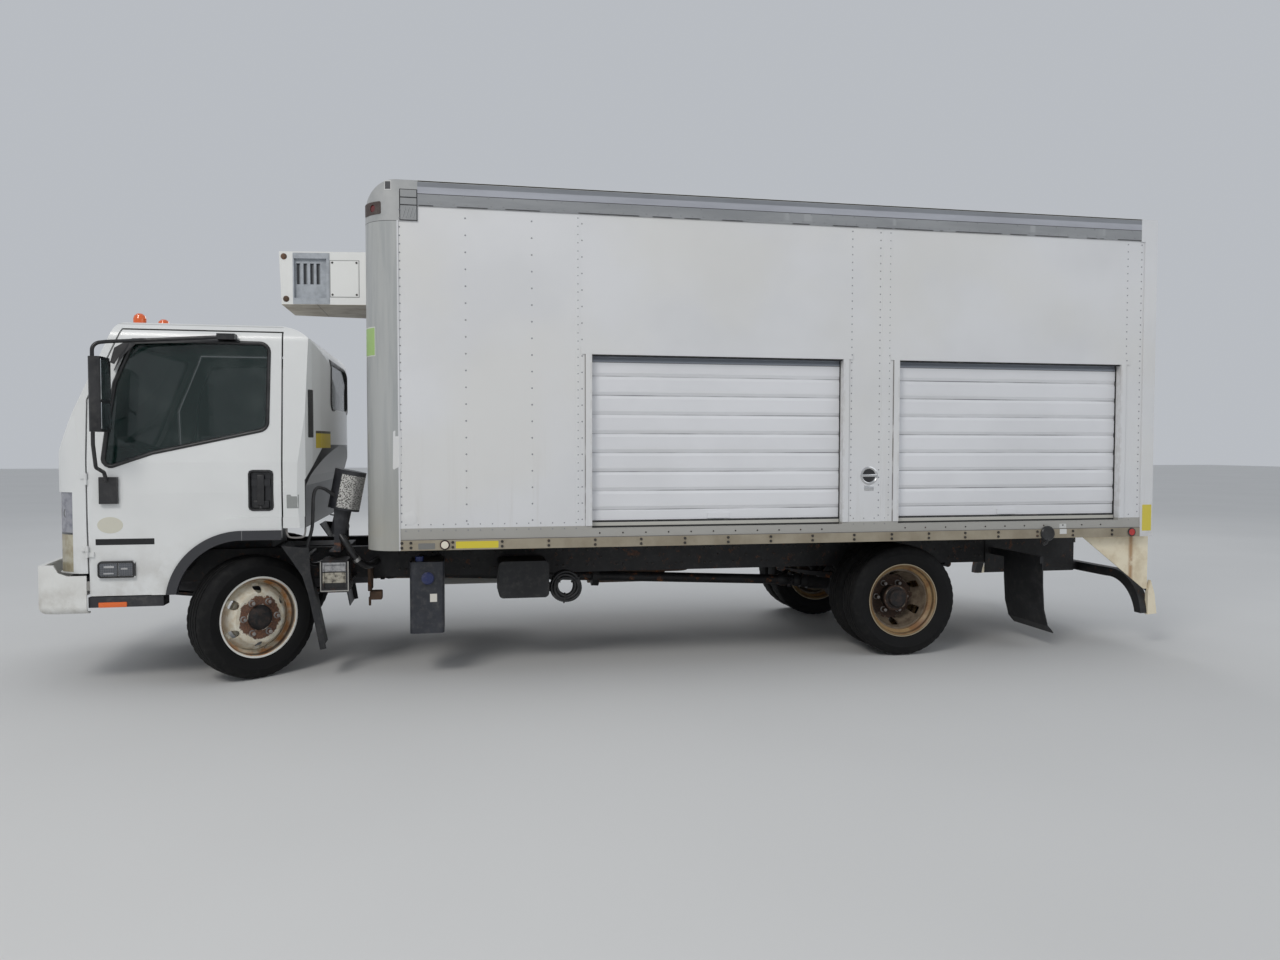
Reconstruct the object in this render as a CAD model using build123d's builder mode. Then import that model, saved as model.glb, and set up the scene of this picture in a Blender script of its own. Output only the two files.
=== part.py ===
from build123d import *
import math
import os

os.makedirs("parts", exist_ok=True)

# Frame of the model: +X towards the tail, +Y to the truck's right, +Z up. The origin is on the
# ground, on the centreline, at mid length. All sizes are in millimetres and degrees.

# Overall layout
front_overhang = 1200
wheelbase = 4470
body_setback = 792.5
body_length = 5539
bar_reach = 98.5
overall_length = front_overhang + body_setback + body_length + bar_reach
nose_x = -overall_length / 2
tail_x = overall_length / 2
front_axle_x = nose_x + front_overhang
rear_axle_x = front_axle_x + wheelbase
body_front_x = front_axle_x + body_setback
body_rear_x = body_front_x + body_length
steer_angle = 38

# Wheels and tyres: 225/70 on 19.5 inch rims, single in front and twin behind
tyre_radius = 395
tyre_width = 226
bead_radius = 247.65
rim_width = 152
rim_flange = 13
rim_sheet = 8
disc_offset = 88
dual_half_spacing = 130
stud_circle = 222.25
stud_count = 6
hand_hole_radius = 30
hand_hole_circle = 372
hub_bore_radius = 32
bearing_clearance = 0.1
axle_z = tyre_radius
kingpin_y = 745
front_wheel_y = 832
rear_wheel_y = 825
drum_radius = 165

# Ladder frame
frame_half_width = 425
rail_flange = 70
rail_web = 8
frame_bottom = 574
frame_top = 790
horn_bottom = 530
horn_top = 640
frame_front_x = front_axle_x - 1020
frame_rear_gap = 86.5
frame_rear_x = body_rear_x - frame_rear_gap

# Body
body_half_width = 1219
side_reach = body_half_width + 81
body_bottom = 839
body_top = 3126
wall = 60
panel_inset = 8
corner_radius = 200
front_post = 210
rear_post = 100
bottom_rail_top = 977
floor_top = 961
floor_bottom = 905
top_rail_bottom = body_top - 154
casting_length = 327
casting_bottom = body_top - 250
door_opening_width = 1720
door_opening_top = 2082
rear_door_margin = 1136.5
door_spacing = 2130
side_door_centres = (body_rear_x - rear_door_margin - door_spacing, body_rear_x - rear_door_margin)
slat_pitch = 124.5
slat_bulge = 8
curtain_thickness = 20
seat_gap = 0.3
rear_opening_half = 1060
rear_opening_top = body_top - 276
cross_member_pitch = 346

# Cab
cab_wall = 50
cab_skin = 20
cab_bottom = 715
belt_z = 1453
door_front_x = front_axle_x - 843
door_rear_x = front_axle_x + 268
door_bottom = 576
door_top = 2204
door_gap = 10
sill_bottom = 506
rear_panel_bottom = 976
cab_rear_x = front_axle_x + 410
arch_centre = (front_axle_x + 35, 512)
arch_radius = 445
arch_top = arch_centre[1] + arch_radius
tilt_pivot = (front_axle_x - 900, 800)
hinge_y = 1021
cab_floor_half = 940
tunnel_half = 446


def block(x0, x1, y0, y1, z0, z1, mode=Mode.ADD):
    """A box between two corners, in the part being built."""
    with Locations(((x0 + x1) / 2, (y0 + y1) / 2, (z0 + z1) / 2)):
        Box(x1 - x0, y1 - y0, z1 - z0, mode=mode)


def pair_block(x0, x1, y0, y1, z0, z1, mode=Mode.ADD):
    """The same box on the left and on the right of the centreline."""
    block(x0, x1, y0, y1, z0, z1, mode)
    block(x0, x1, -y1, -y0, z0, z1, mode)


def rod(start, end, radius, mode=Mode.ADD):
    """A round bar from one point to another."""
    run = Vector(*end) - Vector(*start)
    with BuildSketch(Plane(origin=start, z_dir=run)) as section:
        Circle(radius)
    extrude(section.sketch, amount=run.length, mode=mode)


def plate(plane, points, amount, mode=Mode.ADD, both=False):
    """A flat plate with straight edges."""
    with BuildSketch(plane) as outline:
        with BuildLine():
            Polyline(*points, close=True)
        make_face()
    extrude(outline.sketch, amount=amount, mode=mode, both=both)


def turned(plane, points, mode=Mode.ADD):
    """A ring turned about the plane's y direction, from (radius, axial) points."""
    with BuildSketch(plane) as section:
        with BuildLine():
            Polyline(*points, close=True)
        make_face()
    revolve(section.sketch, axis=Axis(plane.origin, plane.y_dir), mode=mode)


def tube(points, radii, radius):
    """A bent tube: straight runs joined by tangent arcs."""
    with BuildLine() as path:
        FilletPolyline(*points, radius=radii)
    with BuildSketch(Plane(origin=path.line @ 0, z_dir=path.line % 0)) as section:
        Circle(radius)
    sweep(section.sketch, path=path.line)


def export(part, name):
    part.label = name
    export_step(part, "parts/" + name + ".step")


# Cab form: a bowed front and roof, a curved back, tapered sides and rounded corners.
# Each profile is a polygon with rounded corners, and inset moves the whole form inwards.
bow_radius = 9000
nose_line_x = front_axle_x - 1090
front_side = [
    (nose_line_x, 400),
    (nose_line_x + 4, belt_z),
    (front_axle_x - 740, 2264),
    (front_axle_x - 300, 2292),
    (front_axle_x + 1100, 2292),
    (front_axle_x + 1100, 400),
]
front_side_rounds = [(1, 80), (2, 100)]
back_side = [
    (nose_line_x - 200, 400),
    (nose_line_x - 200, 2655),
    (front_axle_x + 395, 2222),
    (front_axle_x + 500, 2080),
    (front_axle_x + 527, 1830),
    (front_axle_x + 527, 1500),
    (front_axle_x + 430, 1300),
    (cab_rear_x, 1240),
    (cab_rear_x, 400),
]
back_side_rounds = [(2, 250), (3, 250), (4, 200)]
# The back seen from above, left half: rounded corners and a back wall with a slight bulge
back_plan = [
    (front_axle_x - 1400, -1300),
    (front_axle_x - 30, -1300),
    (front_axle_x + 360, -1021),
    (front_axle_x + 410, -985),
    (front_axle_x + 442, -900),
    (front_axle_x + 475, -750),
]
back_bulge_x = front_axle_x + 525
end_view = [(-1000, 400), (-1000, 690), (-1020, 1200), (-1016, 1390), (-930, 2250)]
roof_crown = 2298
roof_edge_round = 120
plan_half_width = 1021
plan_round = 330


def rounded(points, rounds, inset):
    """A polygon moved inwards, with its named corners rounded."""
    with BuildSketch() as sketch:
        with BuildLine():
            Polyline(*points, close=True)
        make_face()
        if inset:
            offset(amount=-inset, kind=Kind.INTERSECTION)
        for index, radius in rounds:
            corner = Vector(*points[index])
            vertex = sketch.vertices().sort_by_distance(corner)[0]
            fillet(vertex, radius=max(radius - inset, 5))
    return sketch.sketch


def cab_form(inset):
    with BuildPart() as form:
        with BuildSketch(Plane.XZ):
            add(rounded(front_side, front_side_rounds, inset))
        bow_axis = Axis((nose_line_x + bow_radius, 0, 0), (0, 0, 1))
        revolve(axis=bow_axis, revolution_arc=360)
        with BuildSketch(Plane.XZ):
            add(rounded(back_side, back_side_rounds, inset))
        extrude(amount=1500, both=True, mode=Mode.INTERSECT)
        with BuildSketch(Plane.YZ.offset(nose_line_x - 300)) as end:
            with BuildLine():
                Polyline(*end_view)
                ThreePointArc(end_view[-1], (0, roof_crown), (-end_view[-1][0], end_view[-1][1]))
                Polyline(*[(-y, z) for y, z in reversed(end_view)])
                Line((-end_view[0][0], end_view[0][1]), end_view[0])
            make_face()
            if inset:
                offset(amount=-inset, kind=Kind.INTERSECTION)
            for side in (-1, 1):
                edge_corner = Vector(side * -end_view[-1][0], end_view[-1][1])
                vertex = end.vertices().sort_by_distance(edge_corner)[0]
                fillet(vertex, radius=roof_edge_round - inset)
        extrude(amount=2200, mode=Mode.INTERSECT)
        with BuildSketch(Plane.XY.offset(300)):
            front = nose_line_x - 20 + inset
            half = plan_half_width - inset
            with Locations((front + 1000, 0)):
                RectangleRounded(2000, 2 * half, plan_round - inset)
        extrude(amount=2200, mode=Mode.INTERSECT)
        with BuildSketch(Plane.XY.offset(300)):
            with BuildLine():
                Polyline(*back_plan)
                ThreePointArc(back_plan[-1], (back_bulge_x, 0), (back_plan[-1][0], -back_plan[-1][1]))
                Polyline(*[(x, -y) for x, y in reversed(back_plan)])
                Line((back_plan[0][0], -back_plan[0][1]), back_plan[0])
            make_face()
            if inset:
                offset(amount=-inset, kind=Kind.INTERSECTION)
        extrude(amount=2200, mode=Mode.INTERSECT)
    return form.part


cab_outer = cab_form(0)
cab_under_skin = cab_form(cab_skin)
cab_inner = cab_form(cab_wall)
glass_outer = cab_form(10)
glass_inner = cab_form(16)
cab_lining = cab_form(cab_wall + seat_gap)

# Door outline, seen from the side, with the wheel arch cut into its lower rear corner
pillar_slope = (front_side[2][0] - front_side[1][0]) / (front_side[2][1] - front_side[1][1])
door_knee_z = 1770
door_head_x = door_front_x + (door_top - door_knee_z) * pillar_slope


def arch_point(z):
    rise = z - arch_centre[1]
    return (arch_centre[0] - math.sqrt(arch_radius ** 2 - rise ** 2), z)


def door_outline(grow):
    """Door outline, made larger on all sides by grow."""
    arch_start = arch_point(door_bottom)
    with BuildSketch(Plane.XZ) as sketch:
        with BuildLine():
            Polyline(
                (door_front_x, door_bottom),
                (door_front_x, door_knee_z),
                (door_head_x, door_top),
                (door_rear_x, door_top),
                (door_rear_x, arch_top),
                (arch_centre[0], arch_top),
            )
            RadiusArc((arch_centre[0], arch_top), arch_start, -arch_radius)
            Line(arch_start, (door_front_x, door_bottom))
        make_face()
        if grow:
            offset(amount=grow, kind=Kind.INTERSECTION)
    return sketch.sketch


window_points = [
    (front_axle_x - 755, 1353),
    (front_axle_x - 477, 1453),
    (front_axle_x + 182, 1600),
    (front_axle_x + 190, 2130),
    (front_axle_x - 590, 2137),
    (front_axle_x - 691, 1873),
    (front_axle_x - 725, 1636),
]
window_rounds = [(0, 40), (2, 50), (3, 50), (4, 60)]


def door_window():
    return rounded(window_points, window_rounds, 0)


windshield_points = [(-900, 1478), (900, 1478), (835, 2160), (-835, 2160)]
windshield_rounds = [(0, 60), (1, 60), (2, 70), (3, 70)]
rear_window_points = [(-480, 1745), (480, 1745), (455, 2075), (-455, 2075)]
rear_window_rounds = [(0, 60), (1, 60), (2, 60), (3, 60)]
front_window_reach = 700

with BuildPart() as cab_walls:
    add(cab_outer)
    add(cab_inner, mode=Mode.SUBTRACT)

with BuildPart() as glass_layer:
    add(glass_outer)
    add(glass_inner, mode=Mode.SUBTRACT)

# Cab shell: roof, pillars, rear corner panels and back wall in one welded piece
band_width = 88
band_proud = 14
with BuildPart() as cab_shell:
    add(cab_walls.part)
    with BuildPart(mode=Mode.PRIVATE) as shell_region:
        block(door_front_x - door_gap, front_axle_x + 700, -1100, 1100, rear_panel_bottom, 2400)
        block(nose_line_x - 100, door_front_x - door_gap, -1100, 1100, belt_z, 2400)
    add(shell_region.part, mode=Mode.INTERSECT)
    with BuildSketch(Plane.XZ):
        add(door_outline(door_gap))
    extrude(amount=1200, both=True, mode=Mode.SUBTRACT)
    with BuildSketch(Plane.YZ.offset(nose_line_x - 100)):
        add(rounded(windshield_points, windshield_rounds, 0))
    extrude(amount=front_window_reach, mode=Mode.SUBTRACT)
    with BuildSketch(Plane.YZ.offset(cab_rear_x)):
        add(rounded(rear_window_points, rear_window_rounds, 0))
    extrude(amount=400, mode=Mode.SUBTRACT)
    with BuildPart(mode=Mode.PRIVATE) as corner_band:
        pair_block(door_rear_x + door_gap, cab_rear_x, 900, 1100, rear_panel_bottom, arch_top + band_width)
        add(cab_form(-band_proud), mode=Mode.INTERSECT)
        add(cab_under_skin, mode=Mode.SUBTRACT)
    add(corner_band.part)
export(cab_shell.part, "cab_shell")

# Front panel below the windshield, with the lamp recesses and the air slots
lamp_bottom = 723
lamp_top = 1208
lamp_inner_y = 640
lamp_rear_x = front_axle_x - 940
lamp_gap = 1
with BuildPart() as lamp_zone:
    block(nose_line_x - 100, lamp_rear_x, -1100, -lamp_inner_y, lamp_bottom, lamp_top)
    mirror(about=Plane.XZ)

with BuildPart() as lamp_hole:
    block(
        nose_line_x - 100, lamp_rear_x + lamp_gap, -1100, -lamp_inner_y + lamp_gap,
        lamp_bottom - lamp_gap, lamp_top + lamp_gap,
    )
    mirror(about=Plane.XZ)

# Door hinges: a barrel and pin on the front panel over a bored barrel on the door
hinge_x = door_front_x - door_gap / 2
hinge_zs = (850, 1290)
barrel_radius = 9
barrel_length = 35
barrel_clearance = 5
hinge_pin_radius = 4
hinge_pin_gap = 0.05
leaf_length = 36

slot_half = 520
slot_height = 26
slot_pitch = 52
slot_count = 5
slot_z = 1010
with BuildPart() as cab_front_panel:
    add(cab_walls.part)
    with BuildPart(mode=Mode.PRIVATE) as front_region:
        block(nose_line_x - 100, door_front_x - door_gap, -1100, 1100, cab_bottom, belt_z)
    add(front_region.part, mode=Mode.INTERSECT)
    add(lamp_hole.part, mode=Mode.SUBTRACT)
    block(nose_line_x - 100, nose_line_x + 150, -500, 500, cab_bottom, 790, mode=Mode.SUBTRACT)
    for index in range(slot_count):
        z = slot_z + index * slot_pitch
        block(nose_line_x - 100, nose_line_x + 200, -slot_half, slot_half, z, z + slot_height,
              mode=Mode.SUBTRACT)
    for z in hinge_zs:
        for y in (-hinge_y, hinge_y):
            rod((hinge_x, y, z - barrel_length - barrel_clearance), (hinge_x, y, z),
                barrel_radius + barrel_clearance, mode=Mode.SUBTRACT)
            rod((hinge_x, y, z), (hinge_x, y, z + barrel_length), barrel_radius)
            rod((hinge_x, y, z - barrel_length + 4), (hinge_x, y, z + 5), hinge_pin_radius)
        pair_block(hinge_x - leaf_length, hinge_x, hinge_y - 22, hinge_y - 4, z + 3, z + barrel_length - 3)
export(cab_front_panel.part, "cab_front_panel")

# Windshield and rear window
with BuildPart() as cab_glass:
    add(glass_layer.part)
    with BuildPart(mode=Mode.PRIVATE) as glass_region:
        with BuildSketch(Plane.YZ.offset(nose_line_x - 100)):
            add(rounded(windshield_points, windshield_rounds, seat_gap))
        extrude(amount=front_window_reach)
        with BuildSketch(Plane.YZ.offset(cab_rear_x)):
            add(rounded(rear_window_points, rear_window_rounds, seat_gap))
        extrude(amount=400)
    add(glass_region.part, mode=Mode.INTERSECT)
export(cab_glass.part, "cab_glass")

# Head lamps in the corners and dome lamps on the roof
dome_radius = 38
dome_x = front_axle_x - 612
dome_ys = (-750, -250, 0, 250, 750)
dome_height = 62
with BuildPart() as dome_lamps:
    for y in dome_ys:
        crown = roof_crown - (roof_crown - end_view[-1][1]) * (y / end_view[-1][0]) ** 2
        turned(Plane(origin=(dome_x, y, crown), x_dir=(1, 0, 0), z_dir=(0, -1, 0)), [
            (0, -60), (dome_radius, -60), (dome_radius, dome_height - 34), (dome_radius - 6, dome_height - 16),
            (dome_radius - 20, dome_height - 4), (0, dome_height),
        ])
    add(cab_outer, mode=Mode.SUBTRACT)

with BuildPart() as cab_lamps:
    add(glass_outer)
    add(cab_inner, mode=Mode.SUBTRACT)
    add(lamp_zone.part, mode=Mode.INTERSECT)
    add(dome_lamps.part)
export(cab_lamps.part, "cab_lamps")

# Cab floor: a footwell each side, stepped up over the wheels, a tunnel, sills and hinge ears
floor_sheet = 30
footwell_z = 660
floor_z = 985
tunnel_z = 1150
tunnel_front_x = front_axle_x - 800
cab_front_floor_x = nose_line_x + 20
floor_arch_radius = arch_radius + 22
beam_bottom = tilt_pivot[1] + 42
ear_width = 30
ear_y = 455
ear_radius = 36
hinge_tube_radius = 24
hinge_clearance = 0.3
sill_front_x = door_front_x - door_gap
sill_rear_x = front_axle_x - 430
sill_top = door_bottom - 6
sill_inner_y = 880
sill_outer_y = 1002
sill_hanger_x = front_axle_x - 560
riser_front_x = front_axle_x - 260
riser_rear_x = front_axle_x + 180
riser_outer_y = 720


def floor_path(gap, z_shift):
    """Points of the footwell, arch and rear floor line, gap outside the wheel arch."""
    radius = floor_arch_radius + gap
    rise = footwell_z + z_shift - arch_centre[1]
    start_x = arch_centre[0] - math.sqrt(radius ** 2 - rise ** 2)
    top = floor_z + z_shift
    top_rise = top - arch_centre[1]
    end_x = arch_centre[0]
    if top_rise < radius:
        end_x = arch_centre[0] - math.sqrt(radius ** 2 - top_rise ** 2)
    return (start_x, footwell_z + z_shift), (end_x, min(top, arch_centre[1] + radius))


with BuildPart() as cab_floor:
    low_start, low_end = floor_path(0, 0)
    high_start, high_end = floor_path(floor_sheet, floor_sheet)
    with BuildSketch(Plane.XZ.offset(-cab_floor_half)):
        with BuildLine():
            Line((cab_front_floor_x, footwell_z), low_start)
            RadiusArc(low_start, low_end, floor_arch_radius)
            Polyline(low_end, (low_end[0], floor_z), (cab_rear_x, floor_z),
                     (cab_rear_x, floor_z + floor_sheet), (high_end[0], floor_z + floor_sheet), high_end)
            RadiusArc(high_end, high_start, -(floor_arch_radius + floor_sheet))
            Polyline(high_start, (cab_front_floor_x, footwell_z + floor_sheet),
                     (cab_front_floor_x, footwell_z))
        make_face()
    extrude(amount=2 * cab_floor_half)
    block(nose_x, cab_rear_x, -tunnel_half, tunnel_half, 500, 1400, mode=Mode.SUBTRACT)
    pair_block(cab_front_floor_x, low_start[0] + 10, tunnel_half, tunnel_half + 12,
               footwell_z + 5, tunnel_z - 20)
    pair_block(low_start[0] + 10, cab_rear_x, tunnel_half, tunnel_half + 12, floor_z + 5, tunnel_z - 20)
    block(tunnel_front_x, cab_rear_x, -tunnel_half - 12, tunnel_half + 12, tunnel_z - 20, tunnel_z)
    block(tunnel_front_x, tunnel_front_x + 20, -tunnel_half, tunnel_half, beam_bottom, tunnel_z - 10)
    block(cab_front_floor_x, tunnel_front_x + 20, -tunnel_half - 12, tunnel_half + 12,
          beam_bottom, beam_bottom + 40)
    pair_block(cab_front_floor_x, tunnel_front_x + 20, tunnel_half, tunnel_half + 12,
               beam_bottom, tunnel_z)
    add(cab_lining, mode=Mode.INTERSECT)
    for side in (-1, 1):
        with BuildSketch(Plane.XZ.offset(-side * ear_y)):
            with Locations(tilt_pivot):
                Circle(ear_radius)
            with Locations((tilt_pivot[0], (tilt_pivot[1] + beam_bottom + 20) / 2)):
                Rectangle(2 * ear_radius, beam_bottom + 20 - tilt_pivot[1])
        extrude(amount=-side * ear_width)
    rod((tilt_pivot[0], -700, tilt_pivot[1]), (tilt_pivot[0], 700, tilt_pivot[1]),
        hinge_tube_radius + hinge_clearance, mode=Mode.SUBTRACT)
    pair_block(riser_front_x, riser_rear_x, tunnel_half + 12, riser_outer_y, floor_z + floor_sheet,
               tunnel_z)
    pair_block(sill_front_x, sill_rear_x, sill_inner_y, sill_outer_y, sill_bottom, sill_top)
    pair_block(sill_hanger_x - 100, sill_hanger_x, sill_inner_y, sill_inner_y + 12, sill_bottom,
               footwell_z + 5)
    pair_block(sill_front_x + 20, sill_front_x + 80, sill_inner_y, sill_inner_y + 12, sill_bottom,
               footwell_z + 5)
export(cab_floor.part, "cab_floor")

# Dashboard with the steering column and wheel on the left
dash_rear_x = front_axle_x - 760
dash_bottom = 1160
dash_top = 1400
dash_half = 925
column_y = 500
steering_radius = 205
steering_tilt = 28
column_length = 260
steering_centre = (front_axle_x - 560, -column_y, 1420)
with BuildPart() as dashboard:
    plate(Plane.XZ.offset(-dash_half), [
        (cab_front_floor_x, dash_bottom),
        (dash_rear_x - 60, dash_bottom),
        (dash_rear_x, dash_bottom + 90),
        (dash_rear_x - 40, dash_top - 30),
        (dash_rear_x - 160, dash_top),
        (cab_front_floor_x, dash_top + 20),
    ], 2 * dash_half)
    block(dash_rear_x - 170, dash_rear_x + 20, -150, 150, tunnel_z, dash_bottom + 20)
    add(cab_form(cab_wall + 2 * seat_gap), mode=Mode.INTERSECT)
    wheel_plane = Plane(origin=steering_centre, x_dir=(0, 1, 0),
                        z_dir=(math.sin(math.radians(steering_tilt)), 0,
                               math.cos(math.radians(steering_tilt))))
    with BuildSketch(Plane(origin=steering_centre, x_dir=wheel_plane.x_dir, z_dir=-wheel_plane.y_dir)):
        with Locations((steering_radius, 0)):
            Circle(15)
    revolve(axis=Axis(steering_centre, wheel_plane.z_dir), revolution_arc=360)
    with BuildSketch(wheel_plane.offset(-22)):
        Circle(62)
        for angle in (200, 340, 90):
            with Locations(Rotation(0, 0, angle)):
                with Locations((steering_radius / 2, 0)):
                    Rectangle(steering_radius, 34)
    extrude(amount=18)
    column_end = Vector(*steering_centre) - wheel_plane.z_dir * column_length
    rod(steering_centre, (column_end.X, column_end.Y, column_end.Z), 28)
    block(dash_rear_x - 60, column_end.X + 60, -column_y - 60, -column_y + 30, column_end.Z - 10,
          column_end.Z + 90)
export(dashboard.part, "dashboard")

# Seats: cushion, back and head rest for the driver and a wider one for the passengers
cushion_front_x = front_axle_x - 300
cushion_rear_x = front_axle_x + 190
cushion_top = 1310
back_front_low_x = front_axle_x + 130
back_front_top_x = front_axle_x + 235
back_depth = 120
back_top = 1930
seat_sides = ((-740, -235), (-170, 740))
with BuildPart() as seats:
    for y_low, y_high in seat_sides:
        plate(Plane.XZ.offset(-y_low), [
            (cushion_front_x, tunnel_z),
            (cushion_rear_x, tunnel_z),
            (cushion_rear_x + 20, cushion_top - 60),
            (back_front_top_x + back_depth, back_top),
            (back_front_top_x, back_top),
            (back_front_low_x, cushion_top - 20),
            (cushion_front_x, cushion_top),
        ], -(y_high - y_low))
export(seats.part, "seats")

# Doors: an outer skin hemmed round a smaller inner frame, with the window cut and the arch band
hem = 12
flare_drop = 53
flare_lap = 6
flare_proud = 26
handle_z = (1096, 1332)
handle_x = (front_axle_x + 82, front_axle_x + 214)
lamp_case = (front_axle_x - 792, front_axle_x - 585, 690, 786)
lamp_case_proud = 16


def arch_band(inner, outer, proud):
    """A raised band along the left door's wheel arch, between two distances from its edge."""
    with BuildPart() as band:
        with BuildSketch(Plane.XZ.offset(900)):
            with Locations(arch_centre):
                Circle(arch_radius + outer)
                Circle(arch_radius + inner, mode=Mode.SUBTRACT)
            with Locations((arch_centre[0] + 1000, arch_centre[1])):
                Rectangle(2000, 3000, mode=Mode.SUBTRACT)
            with Locations((arch_centre[0], door_bottom - 1000)):
                Rectangle(3000, 2000, mode=Mode.SUBTRACT)
        extrude(amount=200)
        block(arch_centre[0], door_rear_x, -1100, -900, arch_top + inner, arch_top + outer)
        add(cab_form(-proud), mode=Mode.INTERSECT)
    return band.part


with BuildPart() as door_left:
    add(cab_outer)
    add(cab_under_skin, mode=Mode.SUBTRACT)
    with BuildPart(mode=Mode.PRIVATE) as skin_zone:
        with BuildSketch(Plane.XZ):
            add(door_outline(0))
        extrude(amount=1200)
    add(skin_zone.part, mode=Mode.INTERSECT)
    with BuildPart(mode=Mode.PRIVATE) as frame_zone:
        with BuildSketch(Plane.XZ):
            add(door_outline(-hem))
        extrude(amount=1200)
    with BuildPart(mode=Mode.PRIVATE) as door_frame:
        add(cab_under_skin)
        add(cab_inner, mode=Mode.SUBTRACT)
        add(frame_zone.part, mode=Mode.INTERSECT)
    add(door_frame.part)
    with BuildPart(mode=Mode.PRIVATE) as band:
        add(arch_band(0, band_width, band_proud))
        add(arch_band(-flare_drop, flare_lap, flare_proud))
        add(cab_under_skin, mode=Mode.SUBTRACT)
    add(band.part)
    block(lamp_case[0], lamp_case[1], -hinge_y, -980, lamp_case[2], lamp_case[3])
    with BuildSketch(Plane.XZ):
        add(door_window())
    extrude(amount=1200, mode=Mode.SUBTRACT)
    block(handle_x[0], handle_x[1], -1100, -1000, handle_z[0], handle_z[1], mode=Mode.SUBTRACT)
    block(handle_x[0], handle_x[1], -1000, -975, handle_z[0], handle_z[1])
    block(handle_x[0] + 10, handle_x[1] - 10, -1015, -1000, handle_z[1] - 90, handle_z[1] - 50)
    for z in hinge_zs:
        rod((hinge_x, -hinge_y, z - 1), (hinge_x, -hinge_y, z + barrel_length + barrel_clearance),
            barrel_radius + barrel_clearance, mode=Mode.SUBTRACT)
        rod((hinge_x, -hinge_y, z - barrel_length), (hinge_x, -hinge_y, z - 1), barrel_radius)
        block(hinge_x, hinge_x + leaf_length, -hinge_y + 4, -hinge_y + 22, z - barrel_length + 3, z - 4)
        rod((hinge_x, -hinge_y, z - barrel_length - 1), (hinge_x, -hinge_y, z),
            hinge_pin_radius + hinge_pin_gap, mode=Mode.SUBTRACT)
export(door_left.part, "door_left")
with BuildPart() as door_right:
    add(door_left.part)
    mirror(about=Plane.XZ, mode=Mode.REPLACE)
export(door_right.part, "door_right")

with BuildPart() as door_glass_left:
    add(glass_layer.part)
    with BuildPart(mode=Mode.PRIVATE) as side_glass_zone:
        with BuildSketch(Plane.XZ):
            add(rounded(window_points, window_rounds, seat_gap))
        extrude(amount=1200)
    add(side_glass_zone.part, mode=Mode.INTERSECT)
export(door_glass_left.part, "door_glass_left")
with BuildPart() as door_glass_right:
    add(door_glass_left.part)
    mirror(about=Plane.XZ, mode=Mode.REPLACE)
export(door_glass_right.part, "door_glass_right")

# Door mirrors: a head held off the door by a bent tube, with a long stay to the door's top
mirror_x = front_axle_x - 700
mirror_head_y = 1205
mirror_head_z = (1573, 2008)
mirror_head_half_x = 36
mirror_head_half_y = 92
mirror_tube = 11
mirror_base = (front_axle_x - 770, front_axle_x - 668, 1140, 1302)
with BuildPart() as mirror_left:
    with BuildSketch(Plane.XY.offset(mirror_head_z[0])):
        with Locations((mirror_x, -mirror_head_y)):
            RectangleRounded(2 * mirror_head_half_x, 2 * mirror_head_half_y, 30)
    extrude(amount=mirror_head_z[1] - mirror_head_z[0])
    tube([
        (mirror_base[0] + 45, -1030, mirror_base[3] - 40),
        (mirror_base[0] + 42, -1075, mirror_base[3] + 30),
        (mirror_x - 46, -1150, mirror_base[3] + 60),
        (mirror_x - 49, -1180, mirror_base[3] + 200),
        (mirror_x - 46, -1180, mirror_head_z[1] - 100),
        (mirror_x - 44, -1180, mirror_head_z[1] + 84),
        (mirror_x + 26, -1150, mirror_head_z[1] + 98),
        (mirror_x + 170, -1010, mirror_head_z[1] + 124),
        (door_rear_x - 300, -990, 2168),
    ], [20, 25, 40, 300, 50, 60, 90], mirror_tube)
    block(mirror_x - 60, mirror_x, -1190, -1170, mirror_head_z[0] + 60, mirror_head_z[0] + 90)
    block(mirror_x - 60, mirror_x, -1190, -1170, mirror_head_z[1] - 90, mirror_head_z[1] - 60)
    block(mirror_base[0], mirror_base[1], -1045, -1000, mirror_base[2], mirror_base[3])
    block(door_rear_x - 370, door_rear_x - 265, -1005, -930, 2150, 2186)
    add(cab_outer, mode=Mode.SUBTRACT)
export(mirror_left.part, "mirror_left")
with BuildPart() as mirror_right:
    add(mirror_left.part)
    mirror(about=Plane.XZ, mode=Mode.REPLACE)
export(mirror_right.part, "mirror_right")

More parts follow.
